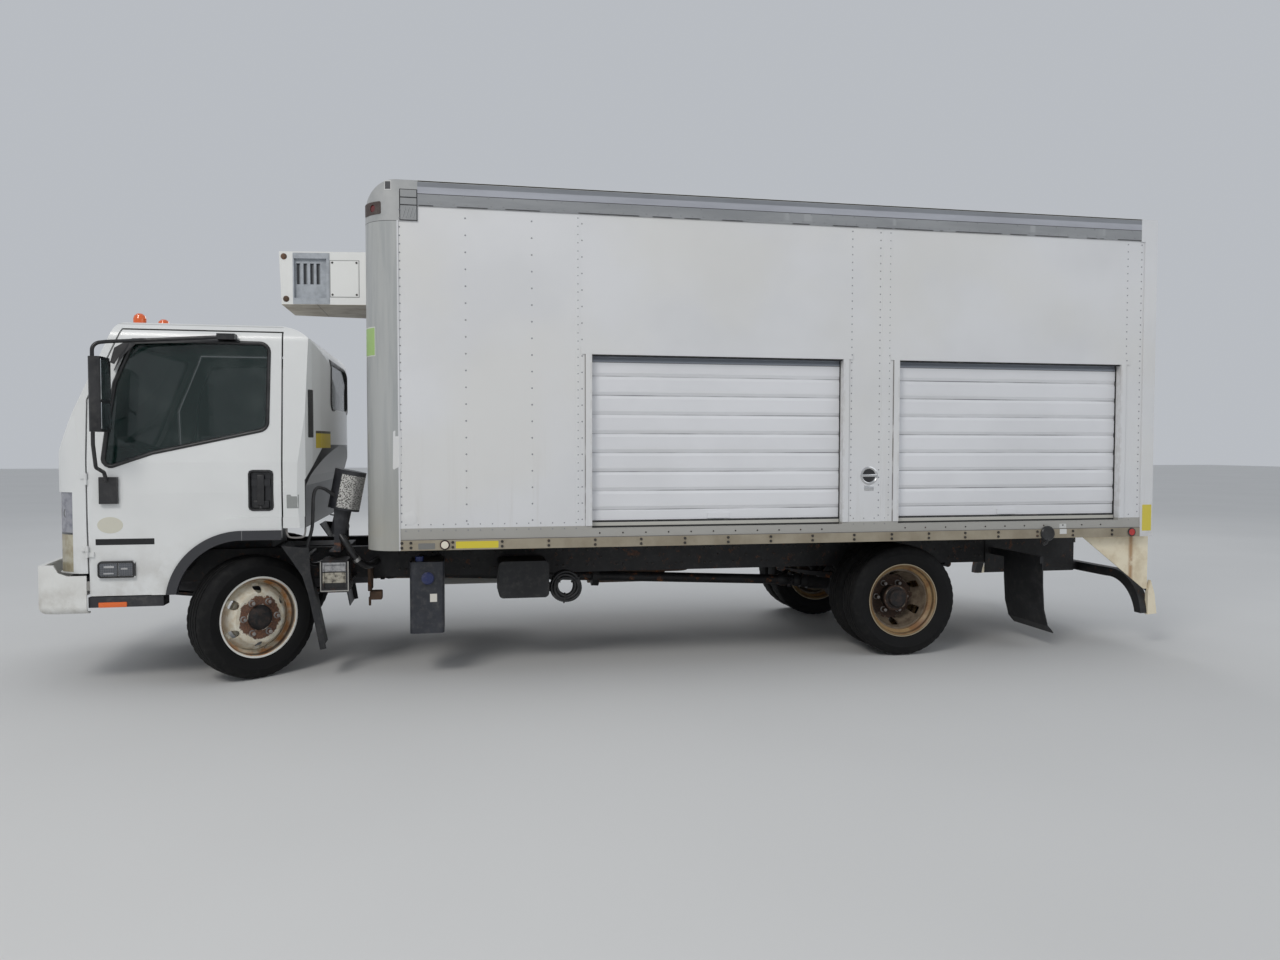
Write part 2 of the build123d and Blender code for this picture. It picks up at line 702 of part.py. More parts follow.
# Ladder frame: two channel rails with dropped front horns, cross members and the cab hinge tube
rail_side = [
    (frame_front_x, horn_bottom),
    (frame_front_x, horn_top),
    (front_axle_x - 800, horn_top),
    (front_axle_x - 600, frame_top),
    (frame_rear_x, frame_top),
    (frame_rear_x, frame_bottom),
    (front_axle_x - 560, frame_bottom),
    (front_axle_x - 760, horn_bottom),
]
cross_xs = (front_axle_x + 760, front_axle_x + 1500, front_axle_x + 2400, front_axle_x + 3300,
            rear_axle_x - 420, rear_axle_x + 420, frame_rear_x - 90)
cross_depth = 150
cross_width = 80
cross_thick = 10
bracket_half = 30
with BuildPart() as ladder_frame:
    with BuildSketch(Plane.XZ.offset(-frame_half_width)):
        with BuildLine():
            Polyline(*rail_side, close=True)
        make_face()
    extrude(amount=rail_flange)
    with BuildSketch(Plane.XZ.offset(-frame_half_width + rail_web)):
        with BuildLine():
            Polyline(*rail_side, close=True)
        make_face()
        offset(amount=-rail_web, kind=Kind.INTERSECTION)
    extrude(amount=rail_flange, mode=Mode.SUBTRACT)
    mirror(about=Plane.XZ)
    web_inner = frame_half_width - rail_web
    for x in cross_xs:
        z_mid = (frame_top + frame_bottom) / 2
        low = z_mid - cross_depth / 2
        high = z_mid + cross_depth / 2
        block(x, x + cross_thick, -web_inner, web_inner, low, high)
        block(x, x + cross_width, -web_inner, web_inner, high - cross_thick, high)
        block(x, x + cross_width, -web_inner, web_inner, low, low + cross_thick)
    block(front_axle_x - 900, front_axle_x - 840, -web_inner, web_inner, horn_bottom + 10, horn_top - 10)
    pair_block(body_front_x + 40, body_rear_x - 40, frame_half_width - rail_flange, frame_half_width,
               frame_top, body_bottom)
    for y in (-frame_half_width + 5, frame_half_width - rail_flange + 5):
        with BuildSketch(Plane.XZ.offset(-y)):
            with Locations(tilt_pivot):
                Circle(bracket_half)
            with Locations((tilt_pivot[0], (horn_top + tilt_pivot[1]) / 2)):
                Rectangle(2 * bracket_half, tilt_pivot[1] - horn_top)
        extrude(amount=-(rail_flange - 10))
    rod((tilt_pivot[0], -ear_y - ear_width - 12, tilt_pivot[1]),
        (tilt_pivot[0], ear_y + ear_width + 12, tilt_pivot[1]), hinge_tube_radius)
    for y in (-ear_y - ear_width - 12, ear_y + ear_width + 6):
        rod((tilt_pivot[0], y, tilt_pivot[1]), (tilt_pivot[0], y + 6, tilt_pivot[1]), hinge_tube_radius + 8)
export(ladder_frame.part, "ladder_frame")

# Front bumper: a bowed channel with a rounded lower edge that wraps to the sides, open at the back
bumper_bottom = 471
bumper_side_top = 704
bumper_front_top = 769
bumper_rear_x = front_axle_x - 854
bumper_half = 1028
bumper_skin = 10
bumper_lip = 34
bumper_flange = 64
bumper_bow = 7000
bumper_round = 170
bumper_edge_round = 45


def bumper_plan(inset):
    with BuildSketch() as plan:
        with Locations((nose_x + inset + bumper_bow, 0)):
            Circle(bumper_bow)
        with Locations((nose_x + inset + 1000, 0)):
            RectangleRounded(2000, 2 * (bumper_half - inset), bumper_round - inset, mode=Mode.INTERSECT)
        with Locations((bumper_rear_x + 2000, 0)):
            Rectangle(4000, 4000, mode=Mode.SUBTRACT)
    return plan.sketch


def bumper_form(inset):
    """The bumper's outer form moved inwards, with a rounded lower edge."""
    with BuildPart() as form:
        with BuildSketch(Plane.XY.offset(bumper_bottom + inset)):
            add(bumper_plan(inset))
        extrude(amount=bumper_front_top - bumper_bottom)
        low_edges = form.edges().group_by(Axis.Z)[0].sort_by(Axis.X)[:-1]
        fillet(low_edges, radius=bumper_edge_round - inset)
    return form.part


with BuildPart() as front_bumper:
    add(bumper_form(0))
    add(bumper_form(bumper_skin), mode=Mode.SUBTRACT)
    with BuildSketch(Plane.XY.offset(bumper_bottom - 1)):
        add(bumper_plan(bumper_flange))
    extrude(amount=bumper_skin + 2, mode=Mode.SUBTRACT)
    plate(Plane.XZ.offset(-1200), [
        (front_axle_x - 1040, bumper_front_top + 10),
        (front_axle_x - 1010, bumper_side_top + 20),
        (front_axle_x - 960, bumper_side_top),
        (front_axle_x - 800, bumper_side_top),
        (front_axle_x - 800, bumper_front_top + 10),
    ], 2400, mode=Mode.SUBTRACT)
    with BuildSketch(Plane.XY.offset(bumper_front_top - bumper_skin)):
        add(bumper_plan(bumper_skin))
        add(bumper_plan(bumper_lip), mode=Mode.SUBTRACT)
        with Locations((nose_x + 1160, 0)):
            Rectangle(2000, 3000, mode=Mode.SUBTRACT)
    extrude(amount=bumper_skin)
    bracket_end = nose_x + bumper_skin + 8
    pair_block(bracket_end, frame_front_x, frame_half_width - rail_flange, frame_half_width,
               horn_bottom, horn_top)
    pair_block(bracket_end, bracket_end + 12, frame_half_width - rail_flange - 60, frame_half_width + 60,
               horn_bottom, horn_top)
export(front_bumper.part, "front_bumper")

# Leaf springs: curved packs under both rails, with eyes, hangers and axle clamps
leaf_width = 64
leaf_thick = 11
leaf_y = frame_half_width - rail_flange / 2
# columns: half length of each leaf, from the top leaf down
front_leaves = (600, 520, 400, 280)
rear_leaves = (690, 600, 500, 390, 280)
front_spring_seat = 432
rear_spring_seat = 458
leaf_radius = 4200
eye_radius = 26
clamp_half = 65


def leaf_pack(axle_x, seat_z, leaves):
    """Leaves stacked on the axle seat, each an arc that rises towards its ends."""
    count = len(leaves)
    for index, half in enumerate(leaves):
        low = seat_z + (count - 1 - index) * leaf_thick
        centre_z = low + leaf_radius
        drop_low = centre_z - math.sqrt(leaf_radius ** 2 - half ** 2)
        drop_high = centre_z - math.sqrt((leaf_radius - leaf_thick) ** 2 - half ** 2)
        with BuildSketch(Plane.XZ.offset(leaf_y - leaf_width / 2)) as leaf:
            with BuildLine():
                ThreePointArc((axle_x - half, drop_low), (axle_x, low), (axle_x + half, drop_low))
                Line((axle_x + half, drop_low), (axle_x + half, drop_high))
                ThreePointArc((axle_x + half, drop_high), (axle_x, low + leaf_thick),
                              (axle_x - half, drop_high))
                Line((axle_x - half, drop_high), (axle_x - half, drop_low))
            make_face()
        extrude(leaf.sketch, amount=leaf_width)
    top_half = leaves[0]
    end_z = seat_z + count * leaf_thick - leaf_thick / 2
    end_z += leaf_radius - math.sqrt(leaf_radius ** 2 - top_half ** 2)
    for x in (axle_x - top_half, axle_x + top_half):
        rod((x, -leaf_y - leaf_width / 2, end_z), (x, -leaf_y + leaf_width / 2, end_z), eye_radius)
        block(x - 24, x + 24, -leaf_y - leaf_width / 2, -leaf_y + leaf_width / 2, end_z, frame_bottom)
    top = seat_z + count * leaf_thick
    block(axle_x - clamp_half, axle_x + clamp_half, -leaf_y - leaf_width / 2, -leaf_y + leaf_width / 2,
          seat_z, top + 14)


with BuildPart() as leaf_springs:
    leaf_pack(front_axle_x, front_spring_seat, front_leaves)
    leaf_pack(rear_axle_x, rear_spring_seat, rear_leaves)
    plate(Plane.XZ.offset(frame_half_width - rail_flange - 10), rail_side, rail_flange + 20,
          mode=Mode.SUBTRACT)
    mirror(about=Plane.XZ)
export(leaf_springs.part, "leaf_springs")

# Front axle: a dropped beam with an eye for each kingpin
eye_half_height = 55
beam_eye_radius = 40
kingpin_radius = 18
pin_clearance = 0.05
beam_low_z = 300
beam_half_x = 45
beam_outer_y = kingpin_y - 20
with BuildPart() as front_axle:
    plate(Plane.YZ.offset(front_axle_x - beam_half_x), [
        (-beam_outer_y, axle_z + 45),
        (-beam_outer_y + 90, axle_z + 45),
        (-frame_half_width - 30, front_spring_seat),
        (frame_half_width + 30, front_spring_seat),
        (beam_outer_y - 90, axle_z + 45),
        (beam_outer_y, axle_z + 45),
        (beam_outer_y, axle_z - 45),
        (beam_outer_y - 60, axle_z - 45),
        (frame_half_width + 60, beam_low_z),
        (-frame_half_width - 60, beam_low_z),
        (-beam_outer_y + 60, axle_z - 45),
        (-beam_outer_y, axle_z - 45),
    ], 2 * beam_half_x)
    pair_block(front_axle_x - beam_half_x, front_axle_x - 12, 0, frame_half_width + 40,
               beam_low_z + 24, front_spring_seat - 24, mode=Mode.SUBTRACT)
    pair_block(front_axle_x + 12, front_axle_x + beam_half_x, 0, frame_half_width + 40,
               beam_low_z + 24, front_spring_seat - 24, mode=Mode.SUBTRACT)
    for y in (-kingpin_y, kingpin_y):
        rod((front_axle_x, y, axle_z - eye_half_height), (front_axle_x, y, axle_z + eye_half_height),
            beam_eye_radius)
        rod((front_axle_x, y, axle_z - 100), (front_axle_x, y, axle_z + 100),
            kingpin_radius + pin_clearance, mode=Mode.SUBTRACT)
export(front_axle.part, "front_axle")


def wheel_plane(x, y, side, steer=0):
    """Plane at a wheel's centre: local x is the radius, local y points outboard."""
    turn = math.radians(steer)
    return Plane(origin=(x, y, axle_z), x_dir=(math.cos(turn), math.sin(turn), 0), z_dir=(0, 0, side))


def steered_centre(side):
    """Front wheel's centre after the knuckle has turned about its kingpin."""
    reach = front_wheel_y - kingpin_y
    turn = math.radians(steer_angle)
    return (front_axle_x - side * reach * math.sin(turn), side * (kingpin_y + reach * math.cos(turn)))


# Steering knuckles: a yoke round the axle eye, the kingpin, the spindle and the steering arm
yoke_gap = 2
yoke_thick = 34
yoke_radius = 42
arm_length = 170
arm_low = 306
arm_high = 330
ball_radius = 9
spindle_end = 62
kingpin_axial = kingpin_y - front_wheel_y
yoke_web_axial = (kingpin_axial + beam_eye_radius + 4, kingpin_axial + 70)


def knuckle(side):
    with BuildPart() as straight:
        pin = (front_axle_x, side * kingpin_y)
        low = axle_z - eye_half_height - yoke_gap
        high = axle_z + eye_half_height + yoke_gap
        for z in (low - yoke_thick, high):
            rod((*pin, z), (*pin, z + yoke_thick), yoke_radius)
            block(pin[0] - 36, pin[0] + 36, min(pin[1], pin[1] + side * 66),
                  max(pin[1], pin[1] + side * 66), z, z + yoke_thick)
        rod((*pin, low), (*pin, high), kingpin_radius)
        web_inner_y = side * (front_wheel_y + yoke_web_axial[0])
        web_outer_y = side * (front_wheel_y + yoke_web_axial[1])
        block(pin[0] - 40, pin[0] + 40, min(web_inner_y, web_outer_y), max(web_inner_y, web_outer_y),
              low - yoke_thick, high + yoke_thick)
        rod((pin[0], web_inner_y, axle_z), (pin[0], side * (front_wheel_y + spindle_end), axle_z),
            hub_bore_radius)
        block(pin[0], pin[0] + arm_length, pin[1] - 15, pin[1] + 15, arm_low, arm_high)
        rod((pin[0] + arm_length, pin[1], arm_low), (pin[0] + arm_length, pin[1], arm_high), 24)
        rod((pin[0] + arm_length, pin[1], arm_low - 36), (pin[0] + arm_length, pin[1], arm_low),
            ball_radius)
        rod((*pin, axle_z - eye_half_height - 1), (*pin, axle_z + eye_half_height + 1),
            beam_eye_radius + 3, mode=Mode.SUBTRACT)
        rod((*pin, low - 1), (*pin, high + 1), kingpin_radius)
    kingpin_axis = Axis((front_axle_x, side * kingpin_y, 0), (0, 0, 1))
    return straight.part.rotate(kingpin_axis, steer_angle)


for side, name in ((-1, "knuckle_left"), (1, "knuckle_right")):
    export(knuckle(side), name)

# Tie rod between the two steering arms, with a ball housing on each arm's pin
arm_turn = math.radians(steer_angle)
tie_x = front_axle_x + arm_length * math.cos(arm_turn)
tie_shift = arm_length * math.sin(arm_turn)
tie_z = arm_low - 18
with BuildPart() as tie_rod:
    rod((tie_x, -kingpin_y + tie_shift, tie_z), (tie_x, kingpin_y + tie_shift, tie_z), 14)
    for y in (-kingpin_y + tie_shift, kingpin_y + tie_shift):
        rod((tie_x, y, tie_z - 16), (tie_x, y, tie_z + 16), 24)
    for y in (-kingpin_y + tie_shift, kingpin_y + tie_shift):
        rod((tie_x, y, tie_z - 20), (tie_x, y, tie_z + 20), ball_radius + 0.05, mode=Mode.SUBTRACT)
export(tie_rod.part, "tie_rod")

# Wheels: rolled rims with flanges and a drop centre, and pressed discs with holes
rim_half = rim_width / 2
flange_radius = bead_radius + rim_flange
well_radius = bead_radius - 22
rim_section = [
    (flange_radius, -rim_half - 9),
    (flange_radius, -rim_half - 2),
    (bead_radius, -rim_half),
    (bead_radius, -48),
    (well_radius, -28),
    (well_radius, 20),
    (bead_radius, 42),
    (bead_radius, rim_half),
    (flange_radius, rim_half + 2),
    (flange_radius, rim_half + 9),
    (flange_radius - rim_sheet, rim_half + 9),
    (bead_radius - rim_sheet, rim_half - 4),
    (bead_radius - rim_sheet, 46),
    (well_radius - rim_sheet, 23),
    (well_radius - rim_sheet, -31),
    (bead_radius - rim_sheet, -52),
    (bead_radius - rim_sheet, 4 - rim_half),
    (flange_radius - rim_sheet, -rim_half - 9),
]
disc_sheet = 11
nut_radius = 16
hub_flange_radius = 138


def rim_at(plane, shift, outward):
    """One rim and disc, shift along the axle; outward says which way the disc is dished."""
    turned(plane, [(r, shift + outward * a) for r, a in rim_section])
    face = disc_offset if shift == 0 else dual_half_spacing + disc_sheet / 3
    inner = well_radius - rim_sheet
    turned(plane, [(r, shift + outward * a) for r, a in (
        (inner + 2, -14),
        (inner + 2, 4),
        (inner - 16, face * 0.42),
        (inner - 46, face - 6),
        (inner - 58, face),
        (82, face),
        (82, face - disc_sheet),
        (inner - 62, face - disc_sheet),
        (inner - 58, face - disc_sheet - 4),
        (inner - 28, face * 0.42 - 8),
        (inner - 12, -14),
    )])
    hole_turn = 360 / stud_count
    for index in range(stud_count):
        angle = math.radians(index * hole_turn + hole_turn / 2)
        radial = plane.x_dir * math.cos(angle) + plane.z_dir * math.sin(angle)
        at = plane.origin + radial * (hand_hole_circle / 2) + plane.y_dir * (shift + outward * face * 0.2)
        with BuildSketch(Plane(origin=at, z_dir=plane.y_dir * outward)) as hand_hole:
            Circle(hand_hole_radius)
        extrude(hand_hole.sketch, amount=face, mode=Mode.SUBTRACT)


def studs(plane, axial, length):
    """Wheel nuts on their circle, standing out from the disc."""
    for index in range(stud_count):
        angle = math.radians(index * 360 / stud_count)
        radial = plane.x_dir * math.cos(angle) + plane.z_dir * math.sin(angle)
        at = plane.origin + radial * (stud_circle / 2) + plane.y_dir * axial
        with BuildSketch(Plane(origin=at, x_dir=radial, z_dir=plane.y_dir)) as nut:
            RegularPolygon(nut_radius, 6)
        extrude(nut.sketch, amount=length)


hub_cap_radius = 62
hub_cap_reach = 42
for side, name in ((-1, "left"), (1, "right")):
    centre = steered_centre(side)
    plane = wheel_plane(centre[0], centre[1], side, steer_angle)
    back = disc_offset - disc_sheet
    with BuildPart() as front_rim:
        rim_at(plane, 0, 1)
        turned(plane, [
            (hub_bore_radius + bearing_clearance, -12),
            (drum_radius, -12), (drum_radius, 26), (110, 26), (110, back - 16),
            (hub_flange_radius, back - 16), (hub_flange_radius, back), (80, back),
            (80, disc_offset + 6), (hub_cap_radius, disc_offset + hub_cap_reach - 8),
            (hub_cap_radius - 16, disc_offset + hub_cap_reach), (0, disc_offset + hub_cap_reach),
            (0, spindle_end + 2), (hub_bore_radius + bearing_clearance, spindle_end + 2),
        ])
        studs(plane, disc_offset, 24)
    export(front_rim.part, "front_rim_" + name)

# Rear wheels: two rims back to back on one hub, with the axle shaft's flange in the middle
rear_bore = 40
rear_plane = wheel_plane(rear_axle_x, -rear_wheel_y, -1)
with BuildPart() as rear_rims_left:
    rim_at(rear_plane, -dual_half_spacing, 1)
    rim_at(rear_plane, dual_half_spacing, -1)
    turned(rear_plane, [
        (rear_bore + bearing_clearance, -220), (150, -220), (178, -205), (178, -60), (112, -48),
        (112, -26), (hub_flange_radius, -26),
        (hub_flange_radius, -5), (80, -5), (80, 84), (92, 84), (92, 98),
        (64, 104), (58, 128), (0, 128), (0, 72), (rear_bore + bearing_clearance, 72),
    ])
    studs(rear_plane, 5, 40)
export(rear_rims_left.part, "rear_rims_left")
with BuildPart() as rear_rims_right:
    add(rear_rims_left.part)
    mirror(about=Plane.XZ, mode=Mode.REPLACE)
export(rear_rims_right.part, "rear_rims_right")

# Tyres: one turned ring each, seated on the rim between its flanges
tyre_half = tyre_width / 2
tyre_section_half = [
    (bead_radius, rim_half - 1),
    (flange_radius + 1, rim_half + 1),
    (flange_radius + 3, rim_half + 10),
    (300, tyre_half - 3),
    (328, tyre_half),
    (362, tyre_half - 8),
    (384, tyre_half - 22),
    (tyre_radius, tyre_half - 44),
]


def tyre_at(plane, shift):
    outer = [(r, a + shift) for r, a in tyre_section_half]
    inner = [(r, shift - a) for r, a in reversed(tyre_section_half)]
    turned(plane, outer + inner)


for side, name in ((-1, "left"), (1, "right")):
    centre = steered_centre(side)
    with BuildPart() as front_tyre:
        tyre_at(wheel_plane(centre[0], centre[1], side, steer_angle), 0)
    export(front_tyre.part, "front_tyre_" + name)
    with BuildPart() as rear_tyres:
        tyre_at(wheel_plane(rear_axle_x, side * rear_wheel_y, side), dual_half_spacing)
        tyre_at(wheel_plane(rear_axle_x, side * rear_wheel_y, side), -dual_half_spacing)
    export(rear_tyres.part, "rear_tyres_" + name)

# Rear axle: housing with the differential, spring seats and spindles, and the drive shaft to it
tube_radius = 58
diff_radius = 175
diff_half = 120
shaft_radius = 38
shaft_front_z = 560
shaft_front_x = front_axle_x + 720
with BuildPart() as rear_axle:
    rod((rear_axle_x, -rear_wheel_y + 225, axle_z), (rear_axle_x, rear_wheel_y - 225, axle_z), tube_radius)
    rod((rear_axle_x, -rear_wheel_y - 68, axle_z), (rear_axle_x, rear_wheel_y + 68, axle_z), rear_bore)
    turned(Plane(origin=(rear_axle_x, 0, axle_z), x_dir=(1, 0, 0), z_dir=(0, 0, 1)), [
        (0, -diff_half - 60), (tube_radius, -diff_half - 60), (diff_radius - 40, -diff_half + 40),
        (diff_radius, -60), (diff_radius, 60), (diff_radius - 40, diff_half - 40),
        (tube_radius, diff_half + 60), (0, diff_half + 60)])
    pair_block(rear_axle_x - 55, rear_axle_x + 55, leaf_y - 32, leaf_y + 32, axle_z + 20, rear_spring_seat)
    nose = (rear_axle_x - 330, 0, axle_z + 12)
    rod((rear_axle_x - 100, 0, axle_z), nose, 70)
    rod(nose, (nose[0] - 60, 0, nose[2] + 2), 58)
    rod((nose[0] - 60, 0, nose[2] + 2), (shaft_front_x, 0, shaft_front_z), shaft_radius)
export(rear_axle.part, "rear_axle")

# Engine and gearbox: one plain mass between the rails
engine_front_x = front_axle_x - 720
engine_rear_x = front_axle_x + 80
engine_half = 290
engine_bottom = 470
engine_top = 1080
gearbox_half = 170
gearbox_rear_x = shaft_front_x - 4
with BuildPart() as engine:
    block(engine_front_x, engine_rear_x, -engine_half, engine_half, engine_bottom, engine_top)
    block(engine_rear_x, gearbox_rear_x - 120, -gearbox_half, gearbox_half, 480, 780)
    block(gearbox_rear_x - 120, gearbox_rear_x, -110, 110, 490, 660)
    pair_block(engine_rear_x - 160, engine_rear_x - 80, engine_half - 5, frame_half_width - rail_web,
               640, 700)
export(engine.part, "engine")

# Load body: a box form with rounded front edges; walls, roof, floor and rear frame are its parts
wall_inner_y = body_half_width - panel_inset - wall
inner_round = corner_radius - wall
side_front_x = body_front_x + front_post
side_rear_x = body_rear_x - rear_post
casting_x = body_front_x + casting_length

with BuildPart() as body_outer:
    block(body_front_x, body_rear_x, -body_half_width, body_half_width, body_bottom, body_top)
    nose_edges = body_outer.edges().filter_by(Axis.Z).group_by(Axis.X)[0]
    top_edge = body_outer.edges().filter_by(Axis.Y).group_by(Axis.Z)[-1].sort_by(Axis.X)[0]
    fillet(nose_edges + [top_edge], radius=corner_radius)

with BuildPart() as body_inner:
    block(body_front_x + wall, body_rear_x + 100, -wall_inner_y, wall_inner_y, body_bottom - 100,
          body_top - wall)
    inner_edges = body_inner.edges().filter_by(Axis.Z).group_by(Axis.X)[0]
    inner_top = body_inner.edges().filter_by(Axis.Y).group_by(Axis.Z)[-1].sort_by(Axis.X)[0]
    fillet(inner_edges + [inner_top], radius=inner_round)

with BuildPart() as body_shell:
    add(body_outer.part)
    add(body_inner.part, mode=Mode.SUBTRACT)

# Front wall with the radius posts and the upper corner castings
lamp_pocket_depth = 12
marker_z = body_top - 171
marker_radius = 34
marker_turn = 46
rib_pitch = 20


def on_post(side, reach):
    """A point at the marker lamp's height, reach from the axis of a front corner's round."""
    turn = math.radians(marker_turn)
    return (body_front_x + corner_radius - reach * math.cos(turn),
            side * (body_half_width - corner_radius + reach * math.sin(turn)), marker_z)


with BuildPart() as box_front_wall:
    add(body_shell.part)
    with BuildPart(mode=Mode.PRIVATE) as nose_zone:
        block(body_front_x - 10, side_front_x, -side_reach, side_reach, body_bottom - 10, body_top + 10)
        block(body_front_x - 10, casting_x, -side_reach, side_reach, casting_bottom, body_top + 10)
    add(nose_zone.part, mode=Mode.INTERSECT)
    for index in range(5):
        x = casting_x - 20 - index * rib_pitch
        pair_block(x - 9, x, body_half_width - 6, body_half_width + 1, casting_bottom + 40, body_top - 70,
                   mode=Mode.SUBTRACT)
    for side in (-1, 1):
        rod(on_post(side, corner_radius - lamp_pocket_depth), on_post(side, corner_radius + 10),
            marker_radius + 2, mode=Mode.SUBTRACT)
export(box_front_wall.part, "box_front_wall")

# Roof with its side rails
with BuildPart() as box_roof:
    add(body_shell.part)
    with BuildPart(mode=Mode.PRIVATE) as roof_zone:
        block(casting_x, side_rear_x, -side_reach, side_reach, top_rail_bottom, body_top + 10)
    add(roof_zone.part, mode=Mode.INTERSECT)
export(box_roof.part, "box_roof")

# Side walls with two door openings each, jambs and drip rails
opening_half = door_opening_width / 2
jamb_width = 42
drip_reach = 66
drip_height = 43
with BuildPart() as box_side_left:
    panel_y = body_half_width - panel_inset
    block(side_front_x, side_rear_x, -panel_y, -wall_inner_y, bottom_rail_top, top_rail_bottom)
    block(side_front_x - 1, casting_x, -body_half_width, -wall_inner_y + 1, casting_bottom,
          top_rail_bottom + 1, mode=Mode.SUBTRACT)
    for x in side_door_centres:
        block(x - opening_half - jamb_width, x + opening_half + jamb_width, -body_half_width,
              -panel_y, bottom_rail_top, door_opening_top)
        block(x - opening_half - drip_reach, x + opening_half + drip_reach, -body_half_width,
              -panel_y, door_opening_top, door_opening_top + drip_height)
        block(x - opening_half, x + opening_half, -body_half_width - 1, -wall_inner_y + 1,
              bottom_rail_top - 1, door_opening_top, mode=Mode.SUBTRACT)
export(box_side_left.part, "box_side_left")
with BuildPart() as box_side_right:
    add(box_side_left.part)
    mirror(about=Plane.XZ, mode=Mode.REPLACE)
export(box_side_right.part, "box_side_right")

# Floor: deck, cross members and side rails in two bands
cross_member_width = 60
rail_band_y = body_half_width - 6
gutter_width = 26
gutter_depth = 6
with BuildPart() as box_floor:
    add(body_inner.part)
    with BuildPart(mode=Mode.PRIVATE) as deck_zone:
        block(body_front_x, side_rear_x, -side_reach, side_reach, floor_bottom, floor_top)
        x = body_front_x + wall + 40
        while x + cross_member_width < side_rear_x:
            block(x, x + cross_member_width, -side_reach, side_reach, body_bottom, floor_bottom)
            x += cross_member_pitch
    add(deck_zone.part, mode=Mode.INTERSECT)
    pair_block(side_front_x + gutter_width, side_rear_x + 1, wall_inner_y - gutter_width, wall_inner_y + 1,
               floor_top - gutter_depth, floor_top + 1, mode=Mode.SUBTRACT)
    pair_block(side_front_x, side_rear_x, wall_inner_y - 10, body_half_width, body_bottom, floor_bottom)
    pair_block(side_front_x, side_rear_x, wall_inner_y, rail_band_y, floor_bottom, bottom_rail_top)
    for x in side_door_centres:
        pair_block(x - opening_half, x + opening_half, wall_inner_y - 1, body_half_width + 1, floor_top,
                   bottom_rail_top + 1, mode=Mode.SUBTRACT)
export(box_floor.part, "box_floor")

# Rear frame round the rear opening
with BuildPart() as box_rear_frame:
    block(side_rear_x, body_rear_x, -body_half_width, body_half_width, body_bottom, body_top)
    block(side_rear_x - 1, body_rear_x + 1, -rear_opening_half, rear_opening_half, floor_top,
          rear_opening_top, mode=Mode.SUBTRACT)
    for y in (-760, -560, 560, 760):
        block(body_rear_x - 6, body_rear_x + 1, y - 60, y + 60, body_bottom + 30, body_bottom + 90,
              mode=Mode.SUBTRACT)
export(box_rear_frame.part, "box_rear_frame")

# Roll-up doors: a slatted curtain behind each side opening and one in the rear opening
curtain_overlap = 30
curtain_top = door_opening_top + 60
curtain_face_y = wall_inner_y - seat_gap
first_seam_z = 1076
slat_margin = 6


def slat_profile(face, base_z, first_z, top_z):
    """Outer face of a curtain: flat at the seams, bulged over each slat, as (offset, z) points."""
    points = [(face - 2, base_z), (face + 4, base_z), (face + 4, first_z - 8), (face, first_z - 4)]
    z = first_z
    while z + slat_pitch <= top_z:
        points += [(face, z + 4), (face + slat_bulge, z + 22), (face + slat_bulge, z + slat_pitch - 22),
                   (face, z + slat_pitch - 4)]
        z += slat_pitch
    points += [(face, top_z), (face - 2, top_z)]
    return points


with BuildPart() as side_roll_doors:
    for centre_x in side_door_centres:
        block(centre_x - opening_half - curtain_overlap, centre_x + opening_half + curtain_overlap,
              -curtain_face_y, -curtain_face_y + curtain_thickness, floor_top - gutter_depth + seat_gap,
              curtain_top)
        outline = slat_profile(curtain_face_y, floor_top + seat_gap, first_seam_z, door_opening_top - 6)
        plate(Plane.YZ.offset(centre_x - opening_half + slat_margin), [(-y, z) for y, z in outline],
              2 * (opening_half - slat_margin))
        block(centre_x - opening_half + slat_margin, centre_x + opening_half - slat_margin,
              -curtain_face_y - 16, -curtain_face_y, floor_top + seat_gap, floor_top + 34)
        block(centre_x - 75, centre_x + 75, -curtain_face_y - 12, -curtain_face_y, floor_top + 52,
              floor_top + 86)
    mirror(about=Plane.XZ)
export(side_roll_doors.part, "side_roll_doors")

rear_door_x = body_rear_x - 62
rear_door_half = rear_opening_half - seat_gap
with BuildPart() as rear_roll_door:
    block(rear_door_x - curtain_thickness, rear_door_x, -rear_door_half, rear_door_half,
          floor_top + seat_gap, rear_opening_top - seat_gap)
    outline = slat_profile(rear_door_x, floor_top + seat_gap, first_seam_z, rear_opening_top - 8)
    plate(Plane.XZ.offset(-rear_door_half + slat_margin), outline, 2 * (rear_door_half - slat_margin))
    block(rear_door_x, rear_door_x + 22, -rear_door_half + slat_margin, rear_door_half - slat_margin,
          floor_top + seat_gap, floor_top + 40)
    block(rear_door_x, rear_door_x + 26, -90, 90, 1120, 1190)
export(rear_roll_door.part, "rear_roll_door")

# Cooling unit on the front wall: it widens towards the wall, with a louvred recess and a hatch in
# each side and a grille in front
unit_front_x = front_axle_x + 145
unit_low_front_x = front_axle_x + 160
unit_z = (2476, 2843)
unit_front_half = 280
unit_wall_half = 370
unit_frame = (94, 341, 2480, 2834)
unit_recess = (103, 323, 2522, 2795)
unit_hatch = (350, 543, 2531, 2782)
unit_slots = (125, 173, 219, 262)
unit_slot_z = (2620, 2765)
grille_half = 200
grille_z = (2530, 2790)
grille_pitch = 26
unit_run = Vector(body_front_x - unit_front_x, unit_front_half - unit_wall_half, 0).normalized()
unit_face = Plane(origin=(unit_front_x, -unit_front_half, 0), x_dir=unit_run,
                  z_dir=(unit_run.Y, -unit_run.X, 0))


def on_unit(zone, depth, mode):
    """A raised or sunk panel on the unit's left side, from (x0, x1, z0, z1) along the face."""
    with BuildSketch(unit_face) as face:
        with Locations(((zone[0] + zone[1]) / 2, (zone[2] + zone[3]) / 2)):
            Rectangle(zone[1] - zone[0], zone[3] - zone[2])
    extrude(face.sketch, amount=depth, mode=mode)


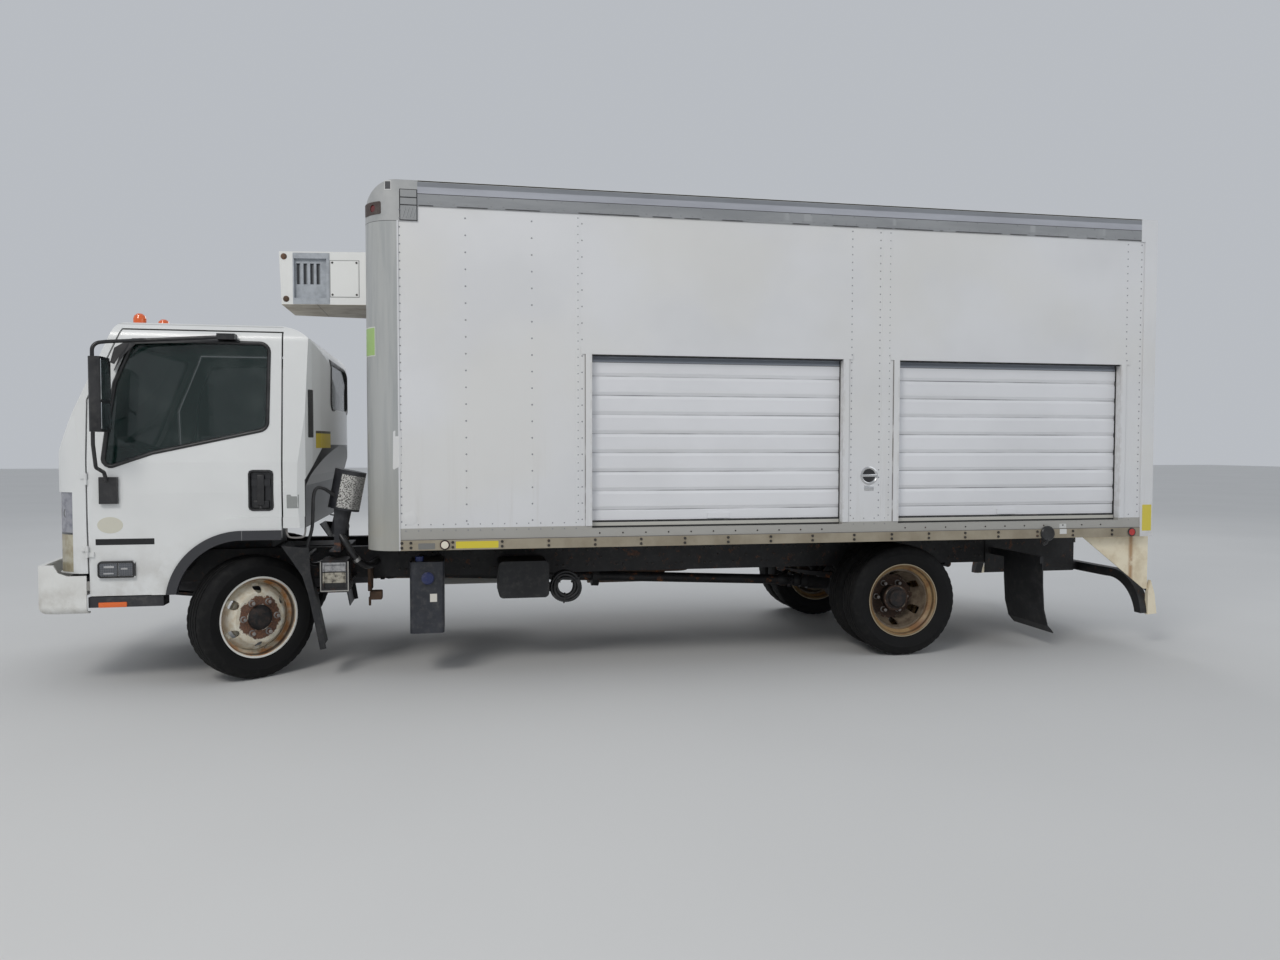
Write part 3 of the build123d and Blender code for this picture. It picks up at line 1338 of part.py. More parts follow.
with BuildPart() as fridge_unit:
    plate(Plane.XZ, [(unit_front_x, unit_z[1]), (unit_low_front_x, unit_z[0]),
                     (body_front_x, unit_z[0]), (body_front_x, unit_z[1])], unit_wall_half)
    with BuildPart(mode=Mode.PRIVATE) as unit_plan:
        plate(Plane.XY.offset(unit_z[0]), [(unit_front_x, 0), (unit_front_x, -unit_front_half),
                                           (body_front_x, -unit_wall_half), (body_front_x, 0)],
              unit_z[1] - unit_z[0])
    add(unit_plan.part, mode=Mode.INTERSECT)
    on_unit(unit_frame, 3, Mode.ADD)
    on_unit(unit_recess, 6, Mode.SUBTRACT)
    on_unit(unit_recess, -22, Mode.SUBTRACT)
    on_unit(unit_hatch, 2.5, Mode.ADD)
    for x in unit_slots:
        on_unit((x - 13, x + 13, unit_slot_z[0], unit_slot_z[1]), -36, Mode.SUBTRACT)
    block(unit_front_x - 10, unit_front_x + 32, -grille_half, 0, grille_z[0], grille_z[1],
          mode=Mode.SUBTRACT)
    z = grille_z[0] + 8
    while z + 12 < grille_z[1]:
        block(unit_front_x + 16, unit_front_x + 33, -grille_half - 1, 0, z, z + 12)
        z += grille_pitch
    mirror(about=Plane.XZ)
export(fridge_unit.part, "fridge_unit")

# Lamps on the body
lamp_margin_front = 269.5
lamp_margin_rear = 69.5
with BuildPart() as body_lamps:
    for x in (side_front_x + lamp_margin_front, side_rear_x - lamp_margin_rear):
        rod((x, -body_half_width - 8, 872), (x, -body_half_width, 872), 24)
    mirror(about=Plane.XZ)
    for y in (-760, -560, 560, 760):
        block(body_rear_x - 6, body_rear_x + 4, y - 58, y + 58, body_bottom + 32, body_bottom + 88)
    for side in (-1, 1):
        rod(on_post(side, corner_radius - lamp_pocket_depth), on_post(side, corner_radius - 3),
            marker_radius)
export(body_lamps.part, "body_lamps")

# Air cleaner: a can on a rusty stand behind the cab, with its elbow
with BuildPart() as air_cleaner:
    can_low = (front_axle_x + 615, -780, 1075)
    can_high = (front_axle_x + 665, -780, 1330)
    rod(can_low, can_high, 100)
    rod((front_axle_x + 582, -780, 925), can_low, 52)
    rod((front_axle_x + 582, -800, 940), (front_axle_x + 582, -500, 940), 40)
    block(front_axle_x + 530, front_axle_x + 600, -840, -frame_half_width + 10, frame_top + 10,
          frame_top + 22)
    block(front_axle_x + 530, front_axle_x + 600, -frame_half_width, -frame_half_width + 40, frame_top,
          frame_top + 22)
    block(front_axle_x + 560, front_axle_x + 600, -830, -820, frame_top + 20, 1110)
    rod((front_axle_x + 582, -500, 940), (front_axle_x + 582, -500, frame_top + 15), 36)
export(air_cleaner.part, "air_cleaner")

# Reservoir tank hung outboard of the left rail
with BuildPart() as reservoir_tank:
    block(front_axle_x + 1050, front_axle_x + 1265, -1110, -800, 296, 753)
    fillet(reservoir_tank.edges().filter_by(Axis.Z), radius=30)
    rod((front_axle_x + 1110, -1060, 750), (front_axle_x + 1110, -1060, 785), 26)
    block(front_axle_x + 1080, front_axle_x + 1120, -810, -frame_half_width, 660, 720)
    block(front_axle_x + 1200, front_axle_x + 1240, -810, -frame_half_width, 660, 720)
export(reservoir_tank.part, "reservoir_tank")

# Battery box, tool box and coiled hose on the left rail
with BuildPart() as battery_box:
    block(front_axle_x + 490, front_axle_x + 652, -930, -700, 548, 755)
    block(front_axle_x + 484, front_axle_x + 660, -940, -frame_half_width, 590, 606)
    block(front_axle_x + 484, front_axle_x + 660, -940, -930, 556, 748)
    block(front_axle_x + 508, front_axle_x + 636, -941, -929, 576, 730, mode=Mode.SUBTRACT)
export(battery_box.part, "battery_box")

with BuildPart() as tool_box:
    block(front_axle_x + 1620, front_axle_x + 1954, -930, -600, 476, 722)
    fillet(tool_box.edges().filter_by(Axis.Y), radius=30)
    block(front_axle_x + 1660, front_axle_x + 1700, -610, -frame_half_width, 640, 700)
    block(front_axle_x + 1880, front_axle_x + 1920, -610, -frame_half_width, 640, 700)
    with BuildSketch(Plane.XZ.offset(800)) as ring_face:
        with Locations((front_axle_x + 2078, 532)):
            Circle(106)
            Circle(58, mode=Mode.SUBTRACT)
    extrude(ring_face.sketch, amount=36)
    block(front_axle_x + 1950, front_axle_x + 2000, -836, -800, 500, 560)
export(tool_box.part, "tool_box")

# Fuel tank on the right rail
with BuildPart() as fuel_tank:
    block(front_axle_x + 1000, front_axle_x + 2000, 520, 960, 360, 740)
    fillet(fuel_tank.edges().filter_by(Axis.X), radius=90)
    rod((front_axle_x + 1200, 955, 640), (front_axle_x + 1200, 1000, 660), 42)
    for x in (front_axle_x + 1150, front_axle_x + 1800):
        block(x, x + 50, frame_half_width, 530, 590, 720)
export(fuel_tank.part, "fuel_tank")

# Exhaust from the engine, under the right rail to the silencer and out at the side
with BuildPart() as exhaust:
    tube([
        (front_axle_x + 60, 230, 520),
        (front_axle_x + 2150, 230, 480),
        (front_axle_x + 2320, 540, 460),
        (front_axle_x + 2450, 560, 460),
    ], [120, 120], 32)
    rod((front_axle_x + 2420, 560, 460), (front_axle_x + 3060, 560, 460), 112)
    tube([
        (front_axle_x + 3040, 560, 460),
        (front_axle_x + 3260, 560, 460),
        (front_axle_x + 3400, 960, 460),
    ], [110], 32)
    for x in (front_axle_x + 2520, front_axle_x + 2900):
        block(x, x + 40, frame_half_width, 570, 550, 640)
    add(engine.part, mode=Mode.SUBTRACT)
export(exhaust.part, "exhaust")

# Mudguards: curved guards behind the front wheels and hanging flaps behind the rear ones
guard_points = [(262, 862), (333, 755), (387, 667), (420, 556), (442, 446), (489, 195)]
guard_back = [(526, 203), (488, 437), (462, 555), (436, 687), (427, 848)]
guard_sheet = 7
flap_points = [(5533, 686), (5536, 480), (5548, 300), (5580, 180), (5628, 125)]


def ribbon(points, y_start, y_end, thickness):
    """A bent sheet that follows points given from the front axle."""
    upper = [Vector(front_axle_x + x, z) for x, z in points]
    lower = []
    for index, point in enumerate(upper):
        before = upper[max(index - 1, 0)]
        after = upper[min(index + 1, len(upper) - 1)]
        along = (after - before).normalized()
        lower.append(point + Vector(-along.Y, along.X) * thickness)
    plate(Plane.XZ.offset(y_end), [(p.X, p.Y) for p in upper + lower[::-1]], y_start - y_end)


with BuildPart() as mudguards:
    ribbon(guard_points, 1010, 690, guard_sheet)
    plate(Plane.XZ.offset(1003), [(front_axle_x + x, z) for x, z in guard_points + guard_back],
          guard_sheet)
    rod((front_axle_x + 385, -1006, 770), (front_axle_x + 385, -frame_half_width, 770), 16)
    ribbon(flap_points, 1090, 600, 8)
    block(front_axle_x + 5515, front_axle_x + 5540, -1090, -frame_half_width - 12, 640, 690)
    mirror(about=Plane.XZ)
export(mudguards.part, "mudguards")

# Rear under-run bar with drooping ends and pointed end caps, its side plates, and the hitch plate
# on the frame's end
bar_x = (tail_x - 130, tail_x - 60)
bar_z = (490, 557)
bar_half = body_half_width - 69
bar_straight = bar_half - 320
bar_end_z = 262
cap_points = [(-76, 252), (-76, 424), (-54, 506), (-21, 409), (0, 258)]
cap_y = (bar_half - 14, bar_half + 16)
bracket_y = (330, 418)
side_plate_sheet = 8
side_plate_front = 522.5
side_plate_rear = 73
side_plate_bottom = 430
hitch_thick = 16
hitch_bottom = 490
hitch_run = 772
hitch_hole_x = 160
hitch_hole_z = 100
hitch_hole_radius = 10.5
with BuildPart() as rear_bumper:
    with BuildSketch(Plane.YZ.offset(bar_x[0])) as bar_face:
        with BuildLine():
            Line((0, bar_z[1]), (-bar_straight, bar_z[1]))
            ThreePointArc((-bar_straight, bar_z[1]), (-bar_half + 85, bar_z[1] - 89),
                          (-bar_half - 8, bar_end_z))
            Line((-bar_half - 8, bar_end_z), (-bar_half + 56, bar_end_z))
            ThreePointArc((-bar_half + 56, bar_end_z), (-bar_half + 138, bar_z[0] - 77),
                          (-bar_straight + 50, bar_z[0]))
            Polyline((-bar_straight + 50, bar_z[0]), (0, bar_z[0]), (0, bar_z[1]))
        make_face()
    extrude(bar_face.sketch, amount=bar_x[1] - bar_x[0])
    plate(Plane.XZ.offset(cap_y[0]), [(tail_x + x, z) for x, z in cap_points], cap_y[1] - cap_y[0])
    block(frame_rear_x + hitch_thick - 1, bar_x[0] + 1, -bracket_y[1], -bracket_y[0], bar_z[0] + 4,
          bar_z[1] - 4)
    plate(Plane.XZ.offset(bar_half - side_plate_sheet), [
        (body_rear_x - side_plate_front, body_bottom),
        (tail_x - side_plate_rear, body_bottom),
        (tail_x - side_plate_rear, side_plate_bottom),
        (tail_x - side_plate_rear - 12, side_plate_bottom),
    ], side_plate_sheet)
    block(frame_rear_x - hitch_run, frame_rear_x, -frame_half_width - 12, -frame_half_width,
          hitch_bottom, frame_top - 1)
    mirror(about=Plane.XZ)
    block(frame_rear_x, frame_rear_x + hitch_thick, -frame_half_width - 12, frame_half_width + 12,
          hitch_bottom, frame_top - 1)
    for y in (-hitch_hole_x / 2, hitch_hole_x / 2):
        for z in (640 - hitch_hole_z / 2, 640 + hitch_hole_z / 2):
            rod((frame_rear_x - 5, y, z), (frame_rear_x + 30, y, z), hitch_hole_radius, mode=Mode.SUBTRACT)
export(rear_bumper.part, "rear_bumper")

print("all done")
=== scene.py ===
import math

import bpy
import bmesh
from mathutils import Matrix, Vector
from mathutils.bvhtree import BVHTree


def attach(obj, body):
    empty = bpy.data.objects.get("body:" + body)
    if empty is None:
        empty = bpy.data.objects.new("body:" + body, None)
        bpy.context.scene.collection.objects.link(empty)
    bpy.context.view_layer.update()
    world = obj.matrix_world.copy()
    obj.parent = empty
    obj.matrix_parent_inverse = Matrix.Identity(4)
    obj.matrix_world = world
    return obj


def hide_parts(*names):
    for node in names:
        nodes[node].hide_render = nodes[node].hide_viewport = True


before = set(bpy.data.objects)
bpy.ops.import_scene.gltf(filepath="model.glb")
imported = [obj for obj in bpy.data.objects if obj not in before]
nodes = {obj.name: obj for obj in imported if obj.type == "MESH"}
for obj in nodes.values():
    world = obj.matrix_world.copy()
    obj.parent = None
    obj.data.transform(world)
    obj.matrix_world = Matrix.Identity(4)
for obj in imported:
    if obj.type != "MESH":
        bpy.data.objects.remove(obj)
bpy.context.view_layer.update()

# Places are in metres, in the frame of the solids: X of the front axle, rear axle and rear door
FA = -2.615
RA = FA + 4.47
REAR = 3.6545
# Half widths over the posts and rails, and over the side walls
HALF = 1.219
PANEL = 1.211
STEER = math.radians(38)
WHEEL_Z = 0.395
# Centres of the side doors, half of an opening, and from a centre to its jambs' joint
DOORS = (FA + 3.065, FA + 5.195)
OPENING = 0.86
JAMB = 0.904
SIDES = ((-1, "left"), (1, "right"))
BOTH = (-1, 1)
OUT = (0, 1, 0)

WHITE = (0.80, 0.81, 0.80)
BODY_WHITE = (0.76, 0.765, 0.775)
GRIME = (0.30, 0.26, 0.20)
RUST = (0.17, 0.055, 0.02)
RUST_BRIGHT = (0.42, 0.17, 0.06)
DARK = (0.012, 0.012, 0.014)


class Graph:
    """A material's shader graph, with short names for the node types used below."""

    def __init__(self, name):
        self.material = bpy.data.materials.new(name)
        self.material.use_nodes = True
        self.tree = self.material.node_tree
        self.bsdf = self.tree.nodes["Principled BSDF"]
        self.place = self.node("ShaderNodeTexCoord").outputs["Object"]
        self.x, self.y, self.z = self.node("ShaderNodeSeparateXYZ", {0: self.place}).outputs
        self.away = self.math("ABSOLUTE", self.y)

    def put(self, socket, value):
        if isinstance(value, bpy.types.NodeSocket):
            self.tree.links.new(value, socket)
        elif hasattr(socket, "default_value") and hasattr(value, "__len__"):
            room = len(socket.default_value)
            socket.default_value = tuple(value)[:room] + (1.0,) * (room - len(value))
        else:
            socket.default_value = value

    def node(self, kind, values=None, **settings):
        node = self.tree.nodes.new(kind)
        for key, value in settings.items():
            setattr(node, key, value)
        for key, value in (values or {}).items():
            self.put(node.inputs[key], value)
        return node

    def math(self, op, a, b=0.0):
        return self.node("ShaderNodeMath", {0: a, 1: b}, operation=op).outputs[0]

    def plus(self, a, b):
        return self.math("ADD", a, b)

    def less(self, a, b):
        return self.math("SUBTRACT", a, b)

    def above(self, value, limit):
        """How far a value lies above a limit, and never below 0."""
        return self.math("MAXIMUM", self.less(value, limit), 0.0)

    def times(self, first, *others):
        for other in others:
            first = self.math("MULTIPLY", first, other)
        return first

    def either(self, first, *others):
        for other in others:
            first = self.math("MAXIMUM", first, other)
        return first

    def wave(self, value, pitch):
        return self.math("SINE", self.times(value, pitch))

    def vector(self, op, a, b):
        node = self.node("ShaderNodeVectorMath", {0: a, 1: b}, operation=op)
        return node.outputs["Value" if op == "DOT_PRODUCT" else "Vector"]

    def noise(self, scale, detail=4.0, rough=0.55, stretch=None, seed=0.0):
        place = self.place
        if stretch:
            place = self.vector("MULTIPLY", place, stretch)
        if seed:
            place = self.vector("ADD", place, (seed, seed * 0.7, seed * 1.3))
        values = {"Vector": place, "Scale": scale, "Detail": detail, "Roughness": rough}
        return self.node("ShaderNodeTexNoise", values).outputs["Fac"]

    def spots(self, low, high, *noise, **settings):
        """A mask where noise lies above low and high."""
        return self.step(self.noise(*noise, **settings), low, high)

    def step(self, value, low, high):
        """0 below low, 1 above high; the other way round when low is greater."""
        values = {"Value": value, "From Min": min(low, high), "From Max": max(low, high)}
        if low > high:
            values.update({"To Min": 1.0, "To Max": 0.0})
        return self.node("ShaderNodeMapRange", values, interpolation_type="SMOOTHSTEP").outputs["Result"]

    def band(self, value, low, high, soft=0.002):
        rise = self.step(value, low - soft, low + soft)
        return self.times(rise, self.step(value, high + soft, high - soft))

    def area(self, x=None, y=None, z=None, soft=0.002):
        """Between limits, with X counted from the front axle."""
        spans = ((self.x, x, FA), (self.y, y, 0.0), (self.z, z, 0.0))
        return self.times(*[self.band(axis, start + span[0], start + span[1], soft)
                            for axis, span, start in spans if span])

    def mix(self, mask, a, b, kind="RGBA"):
        return self.node("ShaderNodeMix", {"Factor": mask, "A": a, "B": b}, data_type=kind).outputs["Result"]

    def blend(self, mask, a, b):
        return self.mix(mask, a, b, "FLOAT")

    def bump(self, height, strength, distance):
        node = self.node("ShaderNodeBump", {"Strength": strength, "Distance": distance, "Height": height})
        self.tree.links.new(node.outputs["Normal"], self.bsdf.inputs["Normal"])
        return self.material

    def set(self, **values):
        for key, value in values.items():
            self.put(self.bsdf.inputs[key.replace("_", " ")], value)
        return self.material

    def layered(self, color, rough, layers):
        for layer in layers:
            mask, tone, tone_rough = layer(self)
            color = self.mix(mask, color, tone)
            rough = self.blend(mask, rough, tone_rough)
        self.set(Base_Color=color, Roughness=rough)


def toned(base, gain, lift=0.0):
    return tuple(min(1, c * gain + lift) for c in base)


def wheel_space(graph, centre, axle):
    """Axial distance and radius of a point from a wheel's centre."""
    from_centre = graph.vector("SUBTRACT", graph.place, centre)
    axial = graph.vector("DOT_PRODUCT", from_centre, axle)
    square = graph.vector("DOT_PRODUCT", from_centre, from_centre)
    return axial, graph.math("SQRT", graph.less(square, graph.times(axial, axial)))


def painted(name, base, layers=(), grime_top=1.1, grime=0.35, rough=0.32, coat=0.4):
    """Painted sheet: slight colour drift, road grime that thickens downwards, fine orange peel."""
    g = Graph(name)
    drift = g.noise(1.3, 3, seed=3.1)
    color = g.mix(g.step(drift, 0.35, 0.7), base, toned(base, 0.93))
    low = g.step(g.z, grime_top, 0.45)
    dirt = g.times(low, g.spots(0.35, 0.75, 7, 6, 0.6, seed=8.2), grime)
    fleck = g.times(g.spots(0.62, 0.72, 55, 6, 0.7, seed=1.7), low, grime)
    color = g.mix(g.either(dirt, fleck), color, GRIME)
    g.layered(color, g.blend(g.step(drift, 0.3, 0.8), rough, rough + 0.12), layers)
    g.set(Coat_Weight=coat, Coat_Roughness=0.12)
    return g.bump(g.noise(260, 2, 0.5), 0.05, 0.0006)


def plastic(name, base, rough=0.5, dust=0.25, layers=()):
    """Moulded plastic or rubber with a fine grain and pale dust."""
    g = Graph(name)
    cloud = g.noise(6, 5, 0.6, seed=2.4)
    color = g.mix(g.step(cloud, 0.3, 0.75), base, toned(base, 1.6, 0.012))
    color = g.mix(g.times(g.spots(0.45, 0.8, 23, 6, 0.65, seed=5.5), dust), color, (0.28, 0.26, 0.23))
    g.layered(color, g.blend(g.step(cloud, 0.3, 0.8), rough - 0.06, rough + 0.12), layers)
    return g.bump(g.noise(420, 2, 0.6), 0.12, 0.0006)


def rusty_black(name, base=(0.012, 0.012, 0.013), rust=0.5, rough=0.55, layers=()):
    """Chassis black with dust on top and rust that breaks through in patches."""
    g = Graph(name)
    color = g.mix(g.spots(0.35, 0.75, 9, 6, 0.62, seed=4.4), base, toned(base, 1.8, 0.004))
    color = g.mix(g.times(g.spots(0.5, 0.8, 30, 6, 0.7, seed=9.1), 0.2), color, (0.15, 0.13, 0.11))
    spots = g.times(g.spots(0.56, 0.66, 14, 8, 0.7, seed=6.3), rust)
    color = g.mix(spots, color, g.mix(g.spots(0.4, 0.7, 60, 4, 0.6), RUST, RUST_BRIGHT))
    g.layered(color, g.blend(spots, rough, 0.85), layers)
    return g.bump(g.noise(120, 5, 0.7), 0.25, 0.001)


def bare_metal(name, base=(0.50, 0.50, 0.49), rough=0.38, metal=0.85):
    """Brushed aluminium with a drawn grain and dull patches."""
    g = Graph(name)
    grain = g.noise(90, 4, 0.6, stretch=(1, 1, 12))
    color = g.mix(g.step(grain, 0.3, 0.7), base, toned(base, 0.82))
    color = g.mix(g.times(g.spots(0.45, 0.75, 3.2, 5, 0.6, seed=7.7), 0.4), color, (0.42, 0.40, 0.35))
    g.set(Base_Color=color, Roughness=g.blend(g.step(grain, 0.2, 0.8), rough, rough + 0.16), Metallic=metal)
    return g.bump(grain, 0.06, 0.0005)


def glassy(name, tint):
    """Tinted glass with a little dust film."""
    g = Graph(name)
    film = g.spots(0.45, 0.8, 5, 6, 0.6, seed=2.2)
    return g.set(Base_Color=g.mix(g.times(film, 0.12), tint, (0.30, 0.33, 0.32)), IOR=1.5,
                 Roughness=g.blend(film, 0.03, 0.08), Alpha=g.blend(film, 0.62, 0.70),
                 Specular_IOR_Level=0.7)


def lens(name, tint, pitch=1080):
    """Moulded lamp lens with fine flutes; the lamps high under the roof are darkened as painted shade."""
    g = Graph(name)
    flute = g.times(g.plus(g.wave(g.x, pitch), g.wave(g.z, pitch)), 0.5)
    color = g.mix(g.step(flute, -0.6, 0.8), tint, toned(tint, 1.35, 0.02))
    # Painted shade: lenses high under the roof are darkened.
    color = g.mix(g.step(g.z, 2.90, 2.91), color, toned(tint, 0.28))
    g.set(Base_Color=color, Roughness=g.blend(g.spots(0.4, 0.7, 8), 0.12, 0.22), Coat_Weight=0.6)
    return g.bump(flute, 0.3, 0.001)


def sticker(name, tone, worn=0.3):
    g = Graph(name)
    scuff = g.spots(0.55, 0.75, 40, 6, 0.7, seed=3.3)
    color = g.mix(g.times(scuff, worn), tone, toned(tone, 0.75, 0.14))
    return g.set(Base_Color=color, Roughness=g.blend(scuff, 0.35, 0.6))


def piece(name, verts, faces, material, body, smooth=False):
    """One object from vertices in the frame's own metres."""
    mesh = bpy.data.meshes.new(name)
    mesh.from_pydata([tuple(v) for v in verts], [], faces)
    mesh.validate()
    work = bmesh.new()
    work.from_mesh(mesh)
    bmesh.ops.recalc_face_normals(work, faces=work.faces)
    work.to_mesh(mesh)
    work.free()
    obj = bpy.data.objects.new(name, mesh)
    bpy.context.scene.collection.objects.link(obj)
    mesh.materials.append(material)
    mesh.polygons.foreach_set("use_smooth", [smooth] * len(mesh.polygons))
    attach(obj, body)
    return obj


def quads(rows, count, wrap=True, loop=False):
    """Faces between rows of points; wrap closes each row, loop joins the last row to the first."""
    faces = []
    for r in range(rows if loop else rows - 1):
        s = (r + 1) % rows
        for k in range(count if wrap else count - 1):
            m = (k + 1) % count
            faces.append((r * count + k, r * count + m, s * count + m, s * count + k))
    return faces


def turns(steps, start=0.0):
    """Evenly spaced angles of one full turn."""
    return [2 * math.pi * (k + start) / steps for k in range(steps)]


class Shape:
    """Collects small forms for one object; X counts from start, and Y is mirrored by side."""

    def __init__(self, start=0.0, side=1):
        self.start = start
        self.side = side
        self.verts = []
        self.faces = []

    def spot(self, p):
        return Vector((self.start + p[0], self.side * p[1], p[2]))

    def add(self, verts, faces):
        base = len(self.verts)
        self.verts += [Vector(v) for v in verts]
        self.faces += [tuple(i + base for i in f) for f in faces]

    def rows(self, rows, end=False):
        """Closed rows of points joined by faces, with a face over the last one if asked for."""
        count = len(rows[0])
        cap = [tuple((len(rows) - 1) * count + i for i in range(count))] if end else []
        self.add([v for row in rows for v in row], quads(len(rows), count) + cap)

    def box(self, x0, x1, y0, y1, z0, z1, bevel=0.003):
        work = bmesh.new()
        bmesh.ops.create_cube(work, size=1.0)
        y0, y1 = sorted((self.side * y0, self.side * y1))
        size = Vector((x1 - x0, y1 - y0, z1 - z0))
        centre = Vector((self.start + (x0 + x1) / 2, (y0 + y1) / 2, (z0 + z1) / 2))
        for v in work.verts:
            v.co = v.co * size + centre
        if bevel:
            bmesh.ops.bevel(work, geom=work.edges[:], offset=min(bevel, min(size) * 0.45), segments=2,
                            affect="EDGES", profile=0.5)
        self.take(work)

    def take(self, work):
        work.verts.index_update()
        self.add([v.co for v in work.verts], [tuple(v.index for v in f.verts) for f in work.faces])
        work.free()

    def lathe(self, profile, origin, direction, steps=24):
        """Turns (radius, height) points about an axis."""
        axis = Vector((direction[0], self.side * direction[1], direction[2])).normalized()
        across = axis.orthogonal().normalized()
        third = axis.cross(across)
        count = len(profile)
        verts = [self.spot(origin) + (across * math.cos(angle) + third * math.sin(angle)) * r + axis * h
                 for angle in turns(steps) for r, h in profile]
        faces = quads(steps, count, wrap=False, loop=True)
        for k in (0, count - 1):
            if profile[k][0] > 1e-6:
                faces.append(tuple(i * count + k for i in range(steps)))
        self.add(verts, faces)

    def nut(self, origin, direction, radius, height):
        self.lathe([(radius, 0), (radius, height * 0.8), (radius * 0.85, height)], origin, direction, 6)

    def dome(self, origin, direction, radius, height, steps=8):
        profile = [(radius, -0.0004), (radius * 0.8, height * 0.6), (0.0, height)]
        self.lathe(profile, origin, direction, steps)

    def pipe(self, points, radius, steps=8):
        """A tube along points, with its ends closed."""
        points = [self.spot(p) for p in points]
        rings = []
        across = None
        for i, point in enumerate(points):
            ahead = (points[min(i + 1, len(points) - 1)] - points[max(i - 1, 0)]).normalized()
            across = across or ahead.orthogonal().normalized()
            across = (across - ahead * across.dot(ahead)).normalized()
            third = ahead.cross(across)
            rings.append([point + (across * math.cos(angle) + third * math.sin(angle)) * radius
                          for angle in turns(steps)])
        self.faces.append(tuple(len(self.verts) + k for k in range(steps)))
        self.rows(rings, end=True)

    def sweep(self, points, per, radius, steps=8):
        """A tube on a Catmull-Rom curve through points."""
        pts = [Vector(p) for p in points]
        pts = [pts[0] * 2 - pts[1]] + pts + [pts[-1] * 2 - pts[-2]]
        out = []
        for a, b, c, d in zip(pts, pts[1:], pts[2:], pts[3:]):
            out += [0.5 * ((2 * b) + (c - a) * t + (2 * a - 5 * b + 4 * c - d) * t * t
                           + (3 * b - a - 3 * c + d) * t ** 3) for t in [k / per for k in range(per)]]
        self.pipe(out + [pts[-2]], radius, steps)

    def both(self):
        """Turns the shape to the left side, then to the right."""
        for self.side in BOTH:
            yield self.side

    def make(self, name, material, body="chassis", smooth=False, slot=None):
        obj = piece(name, self.verts, self.faces, material, body, smooth)
        if smooth:
            bpy.context.view_layer.objects.active = obj
            obj.select_set(True)
            bpy.ops.object.shade_smooth_by_angle(angle=math.radians(40))
            obj.select_set(False)
        return obj


class Face:
    """Some solids' surface, searched along one level direction through points in the plane across it."""

    def __init__(self, direction, start, *names):
        self.direction = Vector(direction)
        self.origin = start
        verts = []
        faces = []
        for name in names:
            mesh = nodes[name].data
            base = len(verts)
            verts += [v.co.copy() for v in mesh.vertices]
            faces += [tuple(i + base for i in p.vertices) for p in mesh.polygons]
        self.tree = BVHTree.FromPolygons(verts, faces)

    def start(self, p):
        if self.direction.y:
            return Vector((self.origin + p[0], -self.direction.y * 2.0, p[1]))
        return Vector((self.origin - self.direction.x * 2.0, p[0], p[1]))

    def drop(self, p, lift=0.001):
        """Where the ray meets the surface, lifted towards the ray's start."""
        hit = self.tree.ray_cast(self.start(p), self.direction, 4.0)[0]
        return None if hit is None else hit - self.direction * lift


def side_face(side, start, *names):
    return Face((0, -side, 0), start, *names)


def rounded_outline(points, *radii, steps=6):
    """A polygon with rounded corners, as a list of 2D points; a single radius serves all corners."""
    radii = radii if len(radii) > 1 else radii * len(points)
    out = []
    count = len(points)
    for i, point in enumerate(points):
        p = Vector(point)
        if not radii[i]:
            out.append(p)
            continue
        a = (Vector(points[i - 1]) - p).normalized()
        b = (Vector(points[(i + 1) % count]) - p).normalized()
        half = a.angle(b) / 2
        reach = radii[i] / math.tan(half)
        centre = p + (a + b).normalized() * (radii[i] / math.sin(half))
        ends = (p + a * reach - centre, p + b * reach - centre)
        for k in range(steps + 1):
            out.append(centre + ends[0].lerp(ends[1], k / steps).normalized() * radii[i])
    return out


def rectangle(x0, x1, z0, z1, radius=0.004, steps=4):
    return rounded_outline([(x0, z0), (x1, z0), (x1, z1), (x0, z1)], radius, steps=steps)


def shifted(outline, amount):
    """The outline moved outwards by an amount."""
    total = sum((outline[i - 1].x * p.y - p.x * outline[i - 1].y) for i, p in enumerate(outline))
    amount = math.copysign(amount, amount * total)
    out = []
    for i, p in enumerate(outline):
        along = (outline[(i + 1) % len(outline)] - outline[i - 1]).normalized()
        out.append(p + Vector((along.y, -along.x)) * amount)
    return out


def seal(name, outline, face, body, inner, outer=0.014):
    """A rubber frame that follows an outline lying on a surface."""
    proud = 0.007
    rows = []
    for shift, lift in ((-inner, 0.001), (-inner, proud * 0.7), (0.002, proud), (outer, proud * 0.5),
                        (outer, 0.0005)):
        row = [face.drop(p, lift) for p in shifted(outline, shift)]
        for i, p in enumerate(row):
            if p is None:
                found = [v for v in row[i:] + row[:i] if v is not None]
                row[i] = found[0] if found else face.start(outline[i])
        rows.append(row)
    count = len(outline)
    piece(name, [v for row in rows for v in row], quads(len(rows), count), trim_black, body, smooth=True)


def patch(shape, face, outline, lift=0.0012):
    """A thin sheet with a given outline laid on a surface, with closed sides."""
    rings = 3
    centre = sum(outline, Vector((0, 0))) / len(outline)
    count = len(outline)
    verts = [face.drop(centre.lerp(p, k / rings), lift) for k in range(rings, 0, -1) for p in outline]
    verts.append(face.drop(centre, lift))
    if any(v is None for v in verts):
        return
    faces = quads(rings, count)
    last = (rings - 1) * count
    base = len(verts)
    for i in range(count):
        j = (i + 1) % count
        faces += [(last + i, last + j, base - 1), (i, j, base + j, base + i)]
    shape.add(verts + [v + face.direction * (lift + 0.0006) for v in verts[:count]], faces)


def grid_patch(shape, face, x0, x1, z0, z1):
    """A thin rectangular sheet that follows a curved surface."""
    columns = 16
    lines = 6
    verts = [face.drop((x0 + (x1 - x0) * i / columns, z0 + (z1 - z0) * k / lines), 0.002)
             for i in range(columns + 1) for k in range(lines + 1)]
    shape.add(verts, quads(columns + 1, lines + 1, wrap=False))


def boxed(name, material, start, sides, *boxes):
    """A piece made of boxes, on one side or on both."""
    shape = Shape(start)
    for shape.side in sides:
        for box in boxes:
            shape.box(*box)
    shape.make(name, material)


